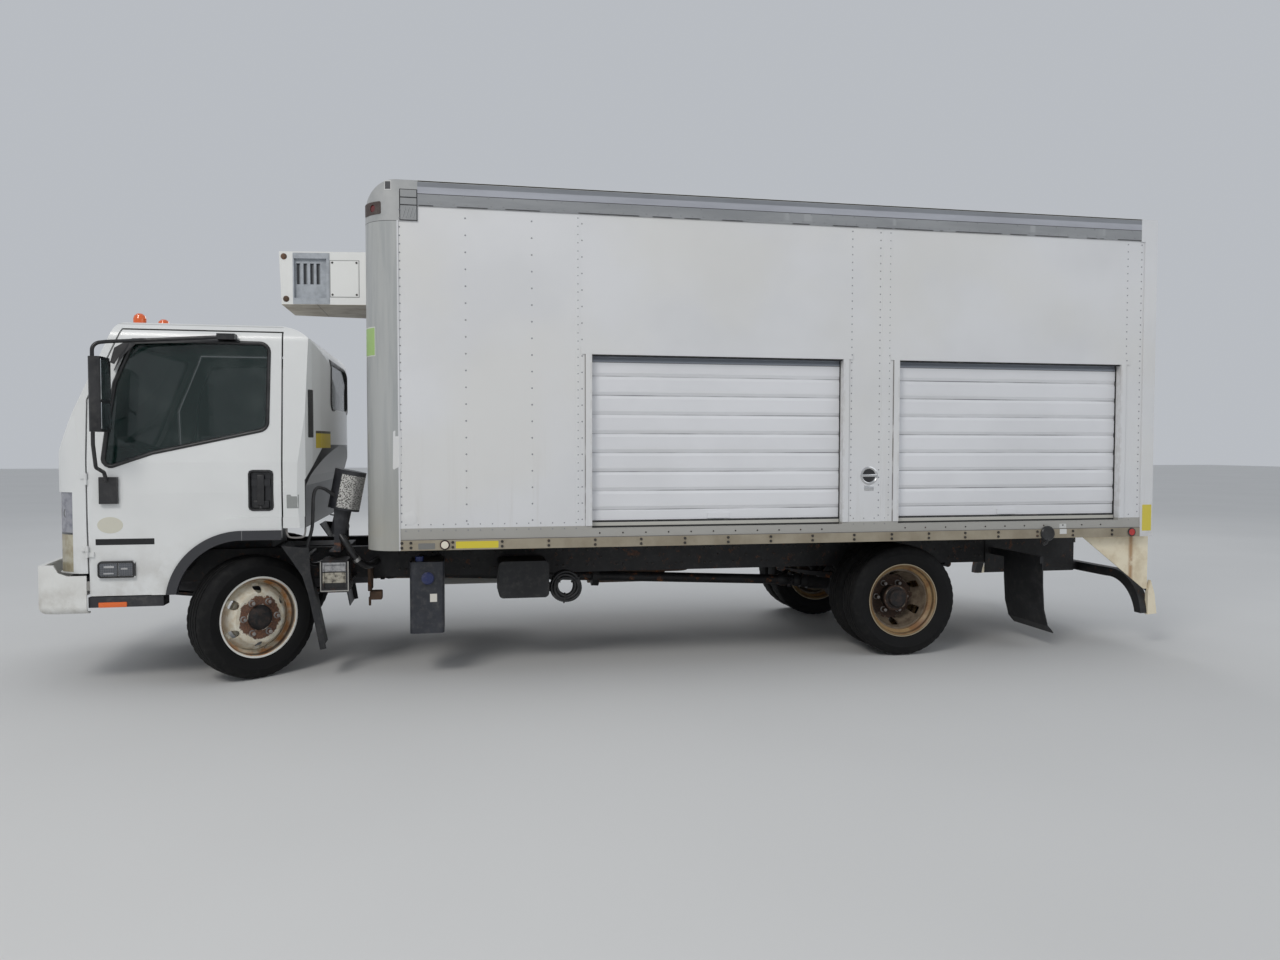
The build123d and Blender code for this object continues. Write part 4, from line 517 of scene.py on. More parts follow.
def turned(name, material, start, sides, profile, direction, steps, *spots):
    """A piece made of like turned forms, on one side or on both."""
    shape = Shape(start)
    for shape.side in sides:
        for spot in spots:
            shape.lathe(profile, spot, direction, steps)
    shape.make(name, material, smooth=True)


def assign(name, material):
    materials = nodes[name].data.materials
    materials.clear()
    materials.append(material)


# Layers of paint on the solids: each gives a mask, a tone and a roughness
def arch_lip(g):
    across = g.less(g.x, FA + 0.035)
    up = g.less(g.z, 0.512)
    radius = g.math("SQRT", g.plus(g.times(across, across), g.times(up, up)))
    curve = g.times(g.step(radius, 0.4522, 0.4512), g.step(g.x, FA + 0.037, FA + 0.033),
                    g.step(g.z, 0.574, 0.5755))
    flat = g.times(g.step(g.x, FA + 0.033, FA + 0.037), g.step(g.z, 0.9642, 0.9632))
    return g.either(curve, flat), (0.028, 0.029, 0.034), 0.5


def cab_inside(g):
    """Inwards of the cab's sides, which lean in above the belt line."""
    return g.step(g.plus(g.away, g.times(g.above(g.z, 1.39), 0.1)), 0.972, 0.968)


def door_inner(g):
    return g.times(cab_inside(g), g.step(g.x, FA - 0.83, FA - 0.82)), (0.16, 0.165, 0.17), 0.6


def handle_dark(g):
    return g.area(x=(0.078, 0.218), z=(1.092, 1.336)), DARK, 0.35


def shell_inner(g):
    low = g.math("MINIMUM", g.math("MAXIMUM", g.less(1.5, g.z), 0.0), 0.2)
    bulge = g.times(g.y, g.y, 0.0889)
    wall = g.plus(g.times(low, 0.485), g.times(g.above(g.z, 2.06), 0.8))
    depth = g.plus(g.plus(g.x, bulge), wall)
    mask = g.times(cab_inside(g), g.step(g.z, 2.252, 2.24), g.step(depth, FA + 0.494, FA + 0.482),
                   g.step(g.x, FA - 0.93, FA - 0.90))
    return mask, (0.42, 0.42, 0.41), 0.8


def shell_back_low(g):
    """Shell coloured black behind the cab, under the slope of the rear wall."""
    slope = g.times(g.less(g.x, FA + 0.44), 1.33)
    inward = g.times(g.less(0.95, g.away), 0.4)
    edge = g.math("MINIMUM", g.plus(g.plus(slope, inward), 1.34), 1.50)
    below = g.step(g.less(g.z, edge), 0.002, -0.002)
    return g.times(g.step(g.x, FA + 0.403, FA + 0.406), below), (0.018, 0.018, 0.02), 0.6


def slots_dark(g):
    spot = g.area(y=(-0.522, 0.522), z=(1.006, 1.25))
    return g.times(spot, g.step(g.x, FA - 1.085, FA - 1.078)), (0.015, 0.015, 0.017), 0.6


def post_grey(g):
    streak = g.spots(0.38, 0.65, 14, 5, 0.6, stretch=(1, 1, 0.07), seed=4.0)
    tone = g.mix(streak, (0.45, 0.46, 0.45), (0.37, 0.385, 0.385))
    tone = g.mix(g.times(g.step(g.z, 1.7, 0.95), 0.5), tone, (0.36, 0.35, 0.30))
    tone = g.mix(g.band(g.z, 2.8735, 2.8765, 0.001), tone, (0.05, 0.05, 0.05))
    return g.step(g.x, FA + 0.998, FA + 0.990), tone, 0.36


def casting_grey(g):
    cloud = g.spots(0.35, 0.7, 5, 5, 0.6, seed=7.0)
    return g.step(g.z, 2.876, 2.879), g.mix(cloud, (0.45, 0.455, 0.45), (0.36, 0.37, 0.37)), 0.4


def front_panel_white(g):
    return g.times(g.step(g.away, 1.03, 1.02), g.step(g.z, 2.93, 2.92)), (0.74, 0.74, 0.73), 0.35


def low_dust(g):
    spread = g.spots(0.3, 0.7, 5, 6, 0.65, seed=6.0)
    return g.times(g.step(g.z, 1.15, 0.84), spread, 0.55), (0.42, 0.39, 0.32), 0.7


def streaks(g):
    fine = g.spots(0.52, 0.72, 16, 5, 0.65, stretch=(1, 1, 0.05), seed=2.9)
    return g.times(fine, g.step(g.z, 1.9, 0.98), 0.22), (0.48, 0.45, 0.39), 0.6


def yellowed(g):
    return g.times(g.spots(0.45, 0.65, 0.8, 3, 0.5, seed=13.0), 0.5), (0.74, 0.73, 0.69), 0.4


def jamb_edges(g, reach, half, soft):
    """Upright lines at a distance from the centres of the side doors."""
    edges = [centre + way * reach for centre in DOORS for way in (-1, 1)]
    return g.either(*[g.band(g.x, edge - half, edge + half, soft) for edge in edges])


def jamb_dirt(g):
    near = jamb_edges(g, OPENING, 0.012, 0.006)
    mask = g.times(near, g.step(g.z, 2.12, 2.05), g.spots(0.4, 0.6, 20, 5), 0.22)
    return mask, (0.40, 0.38, 0.34), 0.7


def jamb_lines(g):
    """Joint between each jamb and the wall, with rust that runs from its top."""
    near = jamb_edges(g, JAMB, 0.0022, 0.001)
    broken = g.spots(0.25, 0.5, 10, 4, 0.6, stretch=(1, 1, 0.6))
    return g.times(near, g.step(g.z, 2.084, 2.080), broken, 0.85), (0.11, 0.09, 0.075), 0.7


def roof_rail_grey(g):
    """Rolled rail: an upper strip darkened as painted shade, a paler step, a painted shadow line, and a grey
    foot with a ragged edge.
    """
    z = g.z
    cloud = g.spots(0.35, 0.65, 9, 5, 0.6, stretch=(0.15, 1, 1))
    joints = g.spots(0.62, 0.66, 7, 2, 0.4, stretch=(1, 0, 0), seed=6.0)
    dashes = g.spots(0.44, 0.47, 6.5, 1, 0.4, stretch=(1, 0, 0), seed=2.0)
    # Painted shade on the upper strip of the rail.
    upper = g.mix(cloud, (0.255, 0.27, 0.293), (0.205, 0.215, 0.235))
    tone = g.mix(cloud, (0.44, 0.455, 0.50), (0.37, 0.38, 0.42))
    foot = g.mix(cloud, (0.315, 0.325, 0.335), (0.26, 0.27, 0.28))
    for mask, other in (
        (g.step(z, 3.086, 3.090), upper),
        (g.step(z, 3.049, 3.047), foot),
        (g.band(z, 3.0435, 3.0475, 0.0008), (0.05, 0.05, 0.055)),
        (g.step(z, 3.117, 3.119), (0.62, 0.61, 0.56)),
        (g.times(joints, g.step(z, 3.043, 3.040), g.step(z, 2.99, 3.0)), (0.36, 0.37, 0.38)),
        (g.times(dashes, g.step(z, 2.9785, 2.9765)), (0.04, 0.04, 0.042)),
    ):
        tone = g.mix(mask, tone, other)
    return g.step(g.away, 1.200, 1.206), tone, 0.42


def top_skin(g):
    tone = g.mix(g.spots(0.3, 0.8, 2.5, 6, 0.6), (0.66, 0.66, 0.64), (0.57, 0.56, 0.535))
    sheet = 0.6096
    seam = g.step(g.math("ABSOLUTE", g.wave(g.x, math.pi / sheet)), 0.022, 0.008)
    tone = g.mix(seam, tone, (0.34, 0.335, 0.32))
    return g.times(g.step(g.away, 1.205, 1.195), g.step(g.z, 3.1, 3.11)), tone, 0.5


def rail_bands(g):
    return g.band(g.z, 0.9035, 0.9065, 0.0008), (0.12, 0.11, 0.10), 0.7


def rail_lower(g):
    tone = g.mix(g.spots(0.35, 0.7, 4, 6, 0.6), (0.37, 0.325, 0.245), (0.27, 0.23, 0.165))
    return g.times(g.step(g.z, 0.904, 0.902), g.step(g.away, 1.14, 1.15)), tone, 0.6


def deck_dark(g):
    cloud = g.spots(0.4, 0.7, 8, 6, 0.6, stretch=(0.2, 1, 1))
    tone = g.mix(cloud, (0.10, 0.075, 0.05), (0.16, 0.12, 0.085))
    return g.times(g.step(g.away, 1.15, 1.14), g.step(g.z, 0.95, 0.94)), tone, 0.75


def slat_part(g):
    """Height within a slat, from 0 to 1."""
    first_seam = 1.076
    pitch = 0.1245
    return g.math("FRACT", g.math("DIVIDE", g.less(g.z, first_seam), pitch))


def slat_seams(g):
    part = slat_part(g)
    near = g.either(g.step(part, 0.035, 0.02), g.step(part, 0.965, 0.98))
    strong = g.blend(g.spots(0.35, 0.65, 1.3, 4, 0.6, stretch=(1, 1, 9), seed=5.0), 0.25, 0.95)
    return g.times(near, g.step(g.z, 1.06, 1.065), strong), (0.22, 0.22, 0.23), 0.6


# Painted shade with some dust: the lower half of each slat is darkened in patches, most at its foot.
def slat_dust_and_shade(g):
    cloud = g.spots(0.4, 0.7, 3, 6, 0.6, stretch=(0.6, 1, 3))
    return g.times(g.step(slat_part(g), 0.5, 0.05), cloud, 0.1), (0.5, 0.48, 0.44), 0.6


def bottom_bar_metal(g):
    tone = g.mix(g.step(g.z, 0.974, 0.971), (0.56, 0.55, 0.50), (0.015, 0.015, 0.015))
    return g.step(g.z, 0.996, 0.994), tone, 0.45


def header_shade(g):
    """The rubber wiper under each header throws a blue-grey band on the top slat."""
    line = g.band(g.z, 2.0355, 2.0395, 0.0008)
    mask = g.times(g.either(g.step(g.z, 2.0385, 2.0415), line), g.step(g.away, 1.13, 1.14))
    return mask, g.mix(line, (0.29, 0.315, 0.36), (0.05, 0.05, 0.055)), 0.6


def unit_depth(g):
    """Depth below the cooling unit's slanted sides."""
    return g.less(g.plus(g.times(g.less(g.x, FA + 0.145), 0.139), 0.28), g.away)


def louvre_grey(g):
    spot = g.times(g.area(x=(0.2375, 0.4885)), g.area(z=(2.4795, 2.8345), soft=0.001))
    tone = g.mix(g.spots(0.4, 0.7, 18, 5, 0.6), (0.43, 0.46, 0.495), (0.33, 0.355, 0.385))
    return g.times(spot, g.step(unit_depth(g), 0.06, 0.05)), tone, 0.45


def louvre_slots(g):
    depth = unit_depth(g)
    slots = g.either(*[g.area(x=(place - 0.0045, place + 0.0045), soft=0.001)
                       for place in (0.269, 0.316, 0.362, 0.404)])
    tone = g.mix(g.times(slots, g.step(depth, 0.030, 0.032)), (0.17, 0.185, 0.20), DARK)
    mask = g.times(g.step(depth, 0.0235, 0.0255), g.area(x=(0.25, 0.46)), g.area(z=(2.56, 2.785)))
    return mask, tone, 0.6


def hatch_edge(g):
    spot = g.area(x=(0.488, 0.690), z=(2.5275, 2.7855))
    inner = g.area(x=(0.4925, 0.6855), z=(2.532, 2.781), soft=0.001)
    line = g.times(spot, g.less(1.0, inner))
    return g.times(line, g.step(unit_depth(g), 0.02, 0.01)), (0.22, 0.22, 0.22), 0.6


def unit_front_dark(g):
    spot = g.area(y=(-0.2015, 0.2015), z=(2.5295, 2.7905))
    tone = g.mix(g.step(g.x, FA + 0.163, FA + 0.168), (0.10, 0.105, 0.11), DARK)
    return g.times(spot, g.area(x=(0.1585, 0.185), soft=0.001)), tone, 0.6


def unit_belly(g):
    tone = g.mix(g.spots(0.35, 0.7, 7, 7, 0.65, seed=3.0), (0.52, 0.47, 0.38), (0.34, 0.28, 0.20))
    tone = g.mix(g.area(x=(0.40, 0.404), soft=0.001), tone, (0.08, 0.07, 0.06))
    return g.step(g.z, 2.4785, 2.4770), tone, 0.7


def battery_face(g):
    """Pale battery with a grey lid line behind the open front of the tray."""
    near = g.times(g.area(x=(0.50, 0.642)), g.step(g.y, -0.925, -0.929), g.area(z=(0.610, 0.742)))
    cloud = g.spots(0.4, 0.65, 30, 6, 0.7)
    grey = g.mix(cloud, (0.42, 0.42, 0.42), (0.20, 0.20, 0.21))
    cream = g.mix(cloud, (0.46, 0.43, 0.35), (0.10, 0.09, 0.075))
    tone = g.mix(g.step(g.z, 0.680, 0.682), cream, grey)
    return near, g.mix(g.band(g.z, 0.676, 0.684, 0.001), tone, (0.02, 0.02, 0.02)), 0.6


def tray_edge(g):
    edges = g.either(g.area(z=(0.555, 0.563), soft=0.001), g.area(x=(0.483, 0.490), soft=0.001),
                     g.area(x=(0.654, 0.661), soft=0.001))
    return g.times(g.step(g.y, -0.9375, -0.9385), edges), (0.42, 0.41, 0.38), 0.5


def cap_blue(g):
    return g.step(g.z, 0.754, 0.757), (0.02, 0.035, 0.14), 0.45


def plate_white(g):
    """Rusted white paint on the rear bar's plates and end caps."""
    plate = g.times(g.step(g.away, 1.1395, 1.1405), g.step(g.x, 3.7422, 3.7405),
                    g.step(g.z, 0.44, 0.445))
    cap = g.times(g.step(g.away, 1.1345, 1.1355), g.step(g.x, 3.7375, 3.7385))
    tone = g.mix(g.spots(0.4, 0.7, 7, 6, 0.6), (0.88, 0.79, 0.60), (0.70, 0.59, 0.41))
    streak = g.times(g.band(g.x, 3.585, 3.615, 0.012), g.spots(0.35, 0.5, 11, 5, 0.6), 0.75)
    return g.either(plate, cap), g.mix(streak, tone, (0.36, 0.17, 0.055)), 0.55


def lamp_material():
    """Roof domes orange, head lamps with a grey upper lens and a yellowed lower one, and painted reflections
    in their reflector bowls.
    """
    g = Graph("lamp_lens")
    yellow = g.mix(g.spots(0.35, 0.7, 14, 4), (0.52, 0.48, 0.36), (0.34, 0.29, 0.18))
    grey = g.mix(g.spots(0.4, 0.7, 20, 4), (0.33, 0.335, 0.37), (0.20, 0.20, 0.24))
    head = g.mix(g.step(g.z, 0.955, 0.96), yellow, grey)
    head = g.mix(g.band(g.z, 0.950, 0.962, 0.001), head, (0.05, 0.05, 0.05))
    facing = g.step(g.away, 0.93, 0.915)
    # Painted reflections: each reflector bowl is bright in the middle and greyer towards its dark rim.
    for y, z, radius in ((0.80, 1.08, 0.088), (0.80, 0.84, 0.082), (0.945, 1.08, 0.03)):
        dy = g.less(g.away, y)
        dz = g.less(g.z, z)
        reach = g.math("SQRT", g.plus(g.times(dy, dy), g.times(dz, dz)))
        bowl = g.times(g.step(reach, radius, radius - 0.004), facing)
        ring = g.times(g.band(reach, radius - 0.004, radius + 0.006, 0.001), facing)
        bowl_reflection = g.mix(g.step(reach, radius * 0.35, radius * 0.95), (0.85, 0.86, 0.86), (0.45, 0.46, 0.48))
        head = g.mix(ring, g.mix(bowl, head, bowl_reflection), (0.06, 0.06, 0.065))
    g.set(Base_Color=g.mix(g.step(g.z, 2.2, 2.21), head, (0.80, 0.13, 0.012)), Coat_Weight=1.0,
          Coat_Roughness=0.05, Roughness=g.blend(g.spots(0.4, 0.7, 30), 0.08, 0.2))
    return g.bump(g.wave(g.y, 700.0), 0.15, 0.001)


def seat_material():
    g = Graph("seat_fabric")
    cloth = g.times(g.wave(g.y, 2400.0), g.wave(g.z, 2400.0))
    panel = g.noise(4, 4)
    tone = g.mix(g.step(cloth, -0.4, 0.6), (0.13, 0.14, 0.16), (0.20, 0.21, 0.24))
    tone = g.mix(g.step(panel, 0.4, 0.7), tone, (0.11, 0.12, 0.14))
    g.set(Base_Color=tone, Roughness=g.blend(g.step(panel, 0.3, 0.7), 0.85, 0.95), Sheen_Weight=0.4)
    return g.bump(cloth, 0.25, 0.0006)


def cleaner_material():
    """Black can with a bright perforated wrap round part of it, on black pipes."""
    g = Graph("air_cleaner_can")
    can_low = Vector((FA + 0.615, -0.78, 1.075))
    can_axis = (Vector((FA + 0.665, -0.78, 1.330)) - can_low).normalized()
    can_up, can_radius = wheel_space(g, can_low, can_axis)
    facing = g.vector("DOT_PRODUCT", g.vector("SUBTRACT", g.place, can_low), (0.80, -0.60, -0.157))
    wrap = g.times(g.band(can_up, 0.014, 0.232, 0.001), g.step(facing, 0.020, 0.024),
                   g.step(can_radius, 0.094, 0.097))
    holes = g.node("ShaderNodeTexVoronoi", {"Vector": g.place, "Scale": 120.0}).outputs["Distance"]
    steel = g.mix(g.step(holes, 0.36, 0.52), (0.06, 0.055, 0.05), (0.60, 0.59, 0.56))
    steel = g.mix(g.times(g.step(facing, 0.085, 0.099), 0.55), steel, (0.10, 0.10, 0.10))
    black = g.mix(g.spots(0.4, 0.7, 12, 5), (0.018, 0.019, 0.023), (0.045, 0.045, 0.05))
    brown = g.times(g.step(g.z, 0.865, 0.86), g.spots(0.45, 0.6, 30, 6))
    black = g.mix(brown, black, (0.14, 0.055, 0.025))
    g.set(Base_Color=g.mix(wrap, black, steel), Roughness=g.blend(wrap, 0.42, 0.5))
    return g.bump(holes, 0.2, 0.001)


red = lens("red_lens", (0.45, 0.02, 0.015))
clear = lens("clear_lens", (0.72, 0.68, 0.56))
orange = lens("orange_lens", (0.75, 0.13, 0.01))
glass = glassy("window_glass", (0.006, 0.020, 0.017))
black_plastic = plastic("black_plastic", (0.022, 0.022, 0.025))
black_rubber = plastic("black_rubber", (0.016, 0.016, 0.017), rough=0.7, dust=0.4)
guard_rubber = plastic("guard_rubber", (0.008, 0.0085, 0.010), rough=0.6, dust=0.12)
trim_black = plastic("trim_black", (0.012, 0.012, 0.013), rough=0.35, dust=0.1)
dash_plastic = plastic("dash_plastic", (0.055, 0.058, 0.062), rough=0.6, dust=0.1)
axle_black = rusty_black("axle_black", rust=0.7)
exhaust_rust = rusty_black("exhaust_rust", base=(0.09, 0.055, 0.035), rust=1.0, rough=0.8)
metal = bare_metal("bare_metal")
chrome = bare_metal("chrome", (0.72, 0.72, 0.72), rough=0.14, metal=1.0)
mirror_glass = bare_metal("mirror_glass", (0.62, 0.64, 0.66), rough=0.03, metal=1.0)
dull_steel = rusty_black("dull_steel", base=(0.22, 0.21, 0.20), rust=0.6, rough=0.55)
bolt_dark = rusty_black("bolt_dark", base=(0.03, 0.026, 0.022), rust=0.6)
door_paint = painted("door_paint", WHITE, [arch_lip, door_inner, handle_dark], grime=0.45)
side_paint = painted("side_paint", BODY_WHITE, [streaks, yellowed, jamb_dirt, jamb_lines], grime=0.25,
                     rough=0.42, coat=0.12)
frame_paint = painted("frame_paint", BODY_WHITE, [streaks, yellowed, low_dust], grime=0.4, rough=0.4,
                      coat=0.15)
slat_paint = painted("slat_paint", (0.82, 0.825, 0.845),
                     [slat_dust_and_shade, slat_seams, bottom_bar_metal, header_shade], grime=0.3, rough=0.4,
                     coat=0.15)

for material, names in (
    (painted("shell_paint", WHITE, [shell_inner, shell_back_low], grime=0.2), "cab_shell"),
    (painted("front_paint", WHITE, [slots_dark, shell_inner], grime=0.5), "cab_front_panel"),
    (painted("bumper_paint", (0.80, 0.80, 0.77), grime=0.6, grime_top=0.8, rough=0.42, coat=0.15),
     "front_bumper"),
    (painted("post_paint", BODY_WHITE, [post_grey, casting_grey, front_panel_white, low_dust], grime=0.3,
             rough=0.34, coat=0.1), "box_front_wall"),
    (painted("roof_paint", (0.70, 0.70, 0.69), [roof_rail_grey, top_skin, streaks], grime=0.1, rough=0.42,
             coat=0.1), "box_roof"),
    (painted("rail_metal", (0.42, 0.41, 0.38), [rail_lower, rail_bands, deck_dark], grime=0.5, rough=0.45,
             coat=0.0), "box_floor"),
    (painted("unit_paint", (0.86, 0.865, 0.84),
             [louvre_grey, louvre_slots, hatch_edge, unit_front_dark, unit_belly], grime=0.1, rough=0.38,
             coat=0.2), "fridge_unit"),
    (painted("grey_paint", (0.33, 0.34, 0.34), grime=0.6, rough=0.5, coat=0.0), "fuel_tank"),
    (rusty_black("chassis_black", rust=0.35), "ladder_frame"),
    (rusty_black("engine_grey", base=(0.06, 0.06, 0.065), rust=0.25), "engine"),
    (rusty_black("battery_black", rust=0.3, layers=[battery_face, tray_edge]), "battery_box"),
    (rusty_black("bar_black", rust=0.45, layers=[plate_white]), "rear_bumper"),
    (plastic("reservoir_black", (0.014, 0.016, 0.022), rough=0.42, dust=0.2, layers=[cap_blue]),
     "reservoir_tank"),
    (lamp_material(), "cab_lamps"),
    (cleaner_material(), "air_cleaner"),
    (door_paint, "door_left door_right"),
    (glass, "cab_glass door_glass_left door_glass_right"),
    (black_plastic, "cab_floor"),
    (dash_plastic, "dashboard"),
    (trim_black, "mirror_left mirror_right"),
    (axle_black, "leaf_springs front_axle knuckle_left knuckle_right tie_rod rear_axle"),
    (side_paint, "box_side_left box_side_right"),
    (frame_paint, "box_rear_frame"),
    (slat_paint, "side_roll_doors rear_roll_door"),
    (red, "body_lamps"),
    (guard_rubber, "tool_box mudguards"),
    (exhaust_rust, "exhaust"),
):
    for name in names.split():
        assign(name, material)


def wheel(kind, side):
    """Centre and outward axis of a wheel."""
    if kind == "rear":
        return Vector((RA, side * 0.825, WHEEL_Z)), Vector((0.0, side, 0.0))
    sine = math.sin(STEER)
    cosine = math.cos(STEER)
    kingpin_y = 0.745
    reach = 0.087
    centre = Vector((FA - side * reach * sine, side * (kingpin_y + reach * cosine), WHEEL_Z))
    return centre, Vector((-side * sine, side * cosine, 0.0))


# Wheel tones in pairs: paint, rust round the nuts, and barrel; then the rim's tone,
# the outer and inner radius of the rusty ring, and how strong the gap's shadow is
WHEEL_LOOKS = {
    "front": ((0.80, 0.76, 0.64), (0.66, 0.57, 0.42), (0.070, 0.024, 0.013), (0.20, 0.070, 0.028),
              (0.56, 0.48, 0.36), (0.44, 0.20, 0.07), (0.86, 0.85, 0.80), 0.139, 0.072, 0.85),
    "rear": ((0.20, 0.16, 0.115), (0.11, 0.08, 0.055), (0.030, 0.017, 0.012), (0.075, 0.036, 0.020),
             (0.33, 0.215, 0.095), (0.24, 0.115, 0.040), (0.215, 0.155, 0.085), 0.160, 0.075, 0.5),
}


def wheel_paint(name, kind, centre, axle):
    """Cream wheel paint, worn to rust round the nuts, with a stained barrel and a black hub."""
    g = Graph(name)
    cream, tan, rust, rust_pale, barrel, stained, rim_tone, ring_out, ring_in, shadow = WHEEL_LOOKS[kind]
    axial, radius = wheel_space(g, centre, axle)
    deep = g.math("ABSOLUTE", axial)
    cloud = g.noise(26, 7, 0.65, seed=3.0)
    fine = g.noise(90, 6, 0.7, seed=1.0)
    rusty = g.mix(g.step(fine, 0.4, 0.65), rust, rust_pale)
    ragged = g.plus(radius, g.times(g.less(cloud, 0.5), 0.09))
    ring = g.times(g.step(ragged, ring_in, ring_in + 0.006), g.step(ragged, ring_out, ring_out - 0.006))
    stain = g.mix(g.spots(0.42, 0.62, 9, 5, 0.6, seed=8.0), barrel, stained)
    rim = g.times(g.step(radius, 0.2475, 0.2490), g.step(deep, 0.06, 0.07))
    rim_tone = g.mix(g.step(fine, 0.62, 0.7), rim_tone, (0.46, 0.27, 0.14))
    if kind == "rear":
        rim_tone = g.mix(g.band(radius, 0.2560, 0.2580, 0.001), rim_tone, (0.58, 0.53, 0.40))
    hub = g.step(radius, 0.0815, 0.0795)
    color = g.mix(g.step(cloud, 0.35, 0.7), cream, tan)
    for mask, tone in (
        (g.times(ring, 0.94), rusty),
        (g.step(radius, 0.213, 0.222), stain),
        (g.times(g.band(radius, 0.2365, 0.2435, 0.001), g.step(deep, 0.035, 0.05), shadow),
         (0.03, 0.022, 0.018)),
        (rim, rim_tone),
        (g.times(g.step(fine, 0.66, 0.72), 0.7), (0.22, 0.10, 0.045)),
        (hub, g.mix(g.step(cloud, 0.4, 0.7), (0.012, 0.012, 0.013), (0.045, 0.03, 0.024))),
    ):
        color = g.mix(mask, color, tone)
    g.set(Base_Color=color, Roughness=g.blend(g.either(ring, hub), 0.45, 0.8))
    return g.bump(fine, 0.3, 0.0012)


def tyre_rubber(name, centre, axle):
    g = Graph(name)
    radius = wheel_space(g, centre, axle)[1]
    cloud = g.noise(9, 6, 0.6, seed=2.0)
    color = g.mix(g.step(cloud, 0.35, 0.75), (0.0045, 0.0045, 0.005), (0.0095, 0.0095, 0.0095))
    dust = g.times(g.step(radius, 0.30, 0.39), g.spots(0.4, 0.75, 24, 6, 0.65, seed=4.0), 0.16)
    g.set(Base_Color=g.mix(dust, color, (0.07, 0.066, 0.06)), Specular_IOR_Level=0.28,
          Roughness=g.blend(g.step(cloud, 0.3, 0.8), 0.7, 0.9))
    return g.bump(g.plus(g.times(g.wave(radius, 900.0), 0.3), g.noise(200, 3, 0.6)), 0.18, 0.0015)


def tyre_section():
    """Section from bead to bead, as (radius, axial place, kind of cut) points."""
    half = [(0.2480, 0.0735, 0), (0.2560, 0.0765, 0), (0.2600, 0.0805, 0), (0.2668, 0.0858, 0),
            (0.282, 0.096, 0), (0.300, 0.1045, 0), (0.318, 0.1105, 0), (0.330, 0.1118, 0),
            (0.332, 0.1128, 0), (0.335, 0.1115, 0), (0.350, 0.1075, 0), (0.362, 0.1030, 0),
            (0.372, 0.0985, 1), (0.384, 0.0895, 1), (0.3905, 0.0800, 1), (0.3917, 0.0690, 1)]
    crown = []
    for centre in (-0.048, -0.016, 0.016, 0.048):
        for a, inward in ((centre - 0.0045, 0.0012), (centre + 0.0045, -0.0012)):
            top = 0.3945 - 0.0022 * (a / 0.069) ** 2
            pair = [(top, a, 2), (top - 0.011, a + inward, 0)]
            crown += pair if inward > 0 else pair[::-1]
    return [(r, -a, cut) for r, a, cut in half] + crown + half[::-1]


def tyre_mesh(shape, centre, axis, shift):
    section = tyre_section()
    steps = 132
    up = Vector((0, 0, 1))
    across = axis.cross(up).normalized()
    verts = []
    for i, angle in enumerate(turns(steps)):
        cuts = (0.0, 0.0032, 0.0015) if i % 3 == 0 else (0.0, 0.0, 0.0)
        radial = across * math.cos(angle) + up * math.sin(angle)
        verts += [centre + radial * (r - cuts[cut]) + axis * (a + shift) for r, a, cut in section]
    shape.add(verts, quads(steps, len(section), loop=True))


# Wheels: painted rims, treaded tyres in place of the plain ones, washers, stud ends and valve stems
STUD_R = 0.111125
for side, word in SIDES:
    for kind, rim, tyre_word, shifts, face, length in (
        ("front", "rim", "tyre", (0.0,), 0.088, 0.024),
        ("rear", "rims", "tyres", (0.130, -0.130), 0.005, 0.040),
    ):
        centre, axis = wheel(kind, side)
        body = f"wheel_{kind}_{word}"
        assign(f"{kind}_{rim}_{word}", wheel_paint(f"{kind}_wheel_{word}", kind, centre, axis))
        shape = Shape()
        for shift in shifts:
            tyre_mesh(shape, centre, axis, shift)
        rubber = tyre_rubber(f"{kind}_rubber_{word}", centre, axis)
        tyre = shape.make(f"{kind}_tread_{word}", rubber, body, True, "tyre")
        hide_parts(f"{kind}_{tyre_word}_{word}")
        plane_x = Vector((math.cos(STEER), math.sin(STEER), 0)) if kind == "front" else Vector((1, 0, 0))
        plane_z = Vector((0, 0, side))
        shape = Shape()
        for angle in turns(6):
            stud = centre + (plane_x * math.cos(angle) + plane_z * math.sin(angle)) * STUD_R
            shape.lathe([(0.0215, 0.0), (0.0215, 0.004), (0.0185, 0.0065), (0.0155, 0.0065)],
                        stud + axis * face, axis, 20)
            shape.lathe([(0.0118, 0.0), (0.0118, 0.005), (0.0095, 0.007), (0.0, 0.007)],
                        stud + axis * (face + length - 0.0005), axis, 12)
        angle = math.radians(75)
        radial = plane_x * math.cos(angle) + plane_z * math.sin(angle)
        shape.pipe([centre + radial * 0.222 + axis * 0.03, centre + radial * 0.205 + axis * 0.062], 0.004)
        shape.make(f"{kind}_nuts_{word}", dull_steel, body, True)

# Window seals, and the black visor strip over each door window
window_line = rounded_outline([(-0.755, 1.353), (-0.477, 1.453), (0.182, 1.600), (0.190, 2.130),
                               (-0.590, 2.137), (-0.691, 1.873), (-0.725, 1.636)],
                              0.04, 0, 0.05, 0.05, 0.06, 0, 0)
visor_line = (((-0.700, 1.95), (-0.690, 1.95)), ((-0.665, 2.05), (-0.640, 2.04)),
              ((-0.600, 2.150), (-0.575, 2.115)), ((-0.30, 2.158), (-0.30, 2.128)),
              ((0.02, 2.157), (0.02, 2.140)))
for side, word in SIDES:
    face = side_face(side, FA, "door_" + word, "door_glass_" + word)
    seal("window_seal_" + word, window_line, face, "door_" + word, inner=0.008, outer=0.016)
    visor = Shape()
    visor.faces.append((0, 1, 2, 3))
    visor.rows([[face.drop(top, 0.004), face.drop(low, 0.030), face.drop(low, 0.026), face.drop(top, 0.0005)]
                for top, low in visor_line], end=True)
    visor.make("window_visor_" + word, trim_black, "door_" + word)

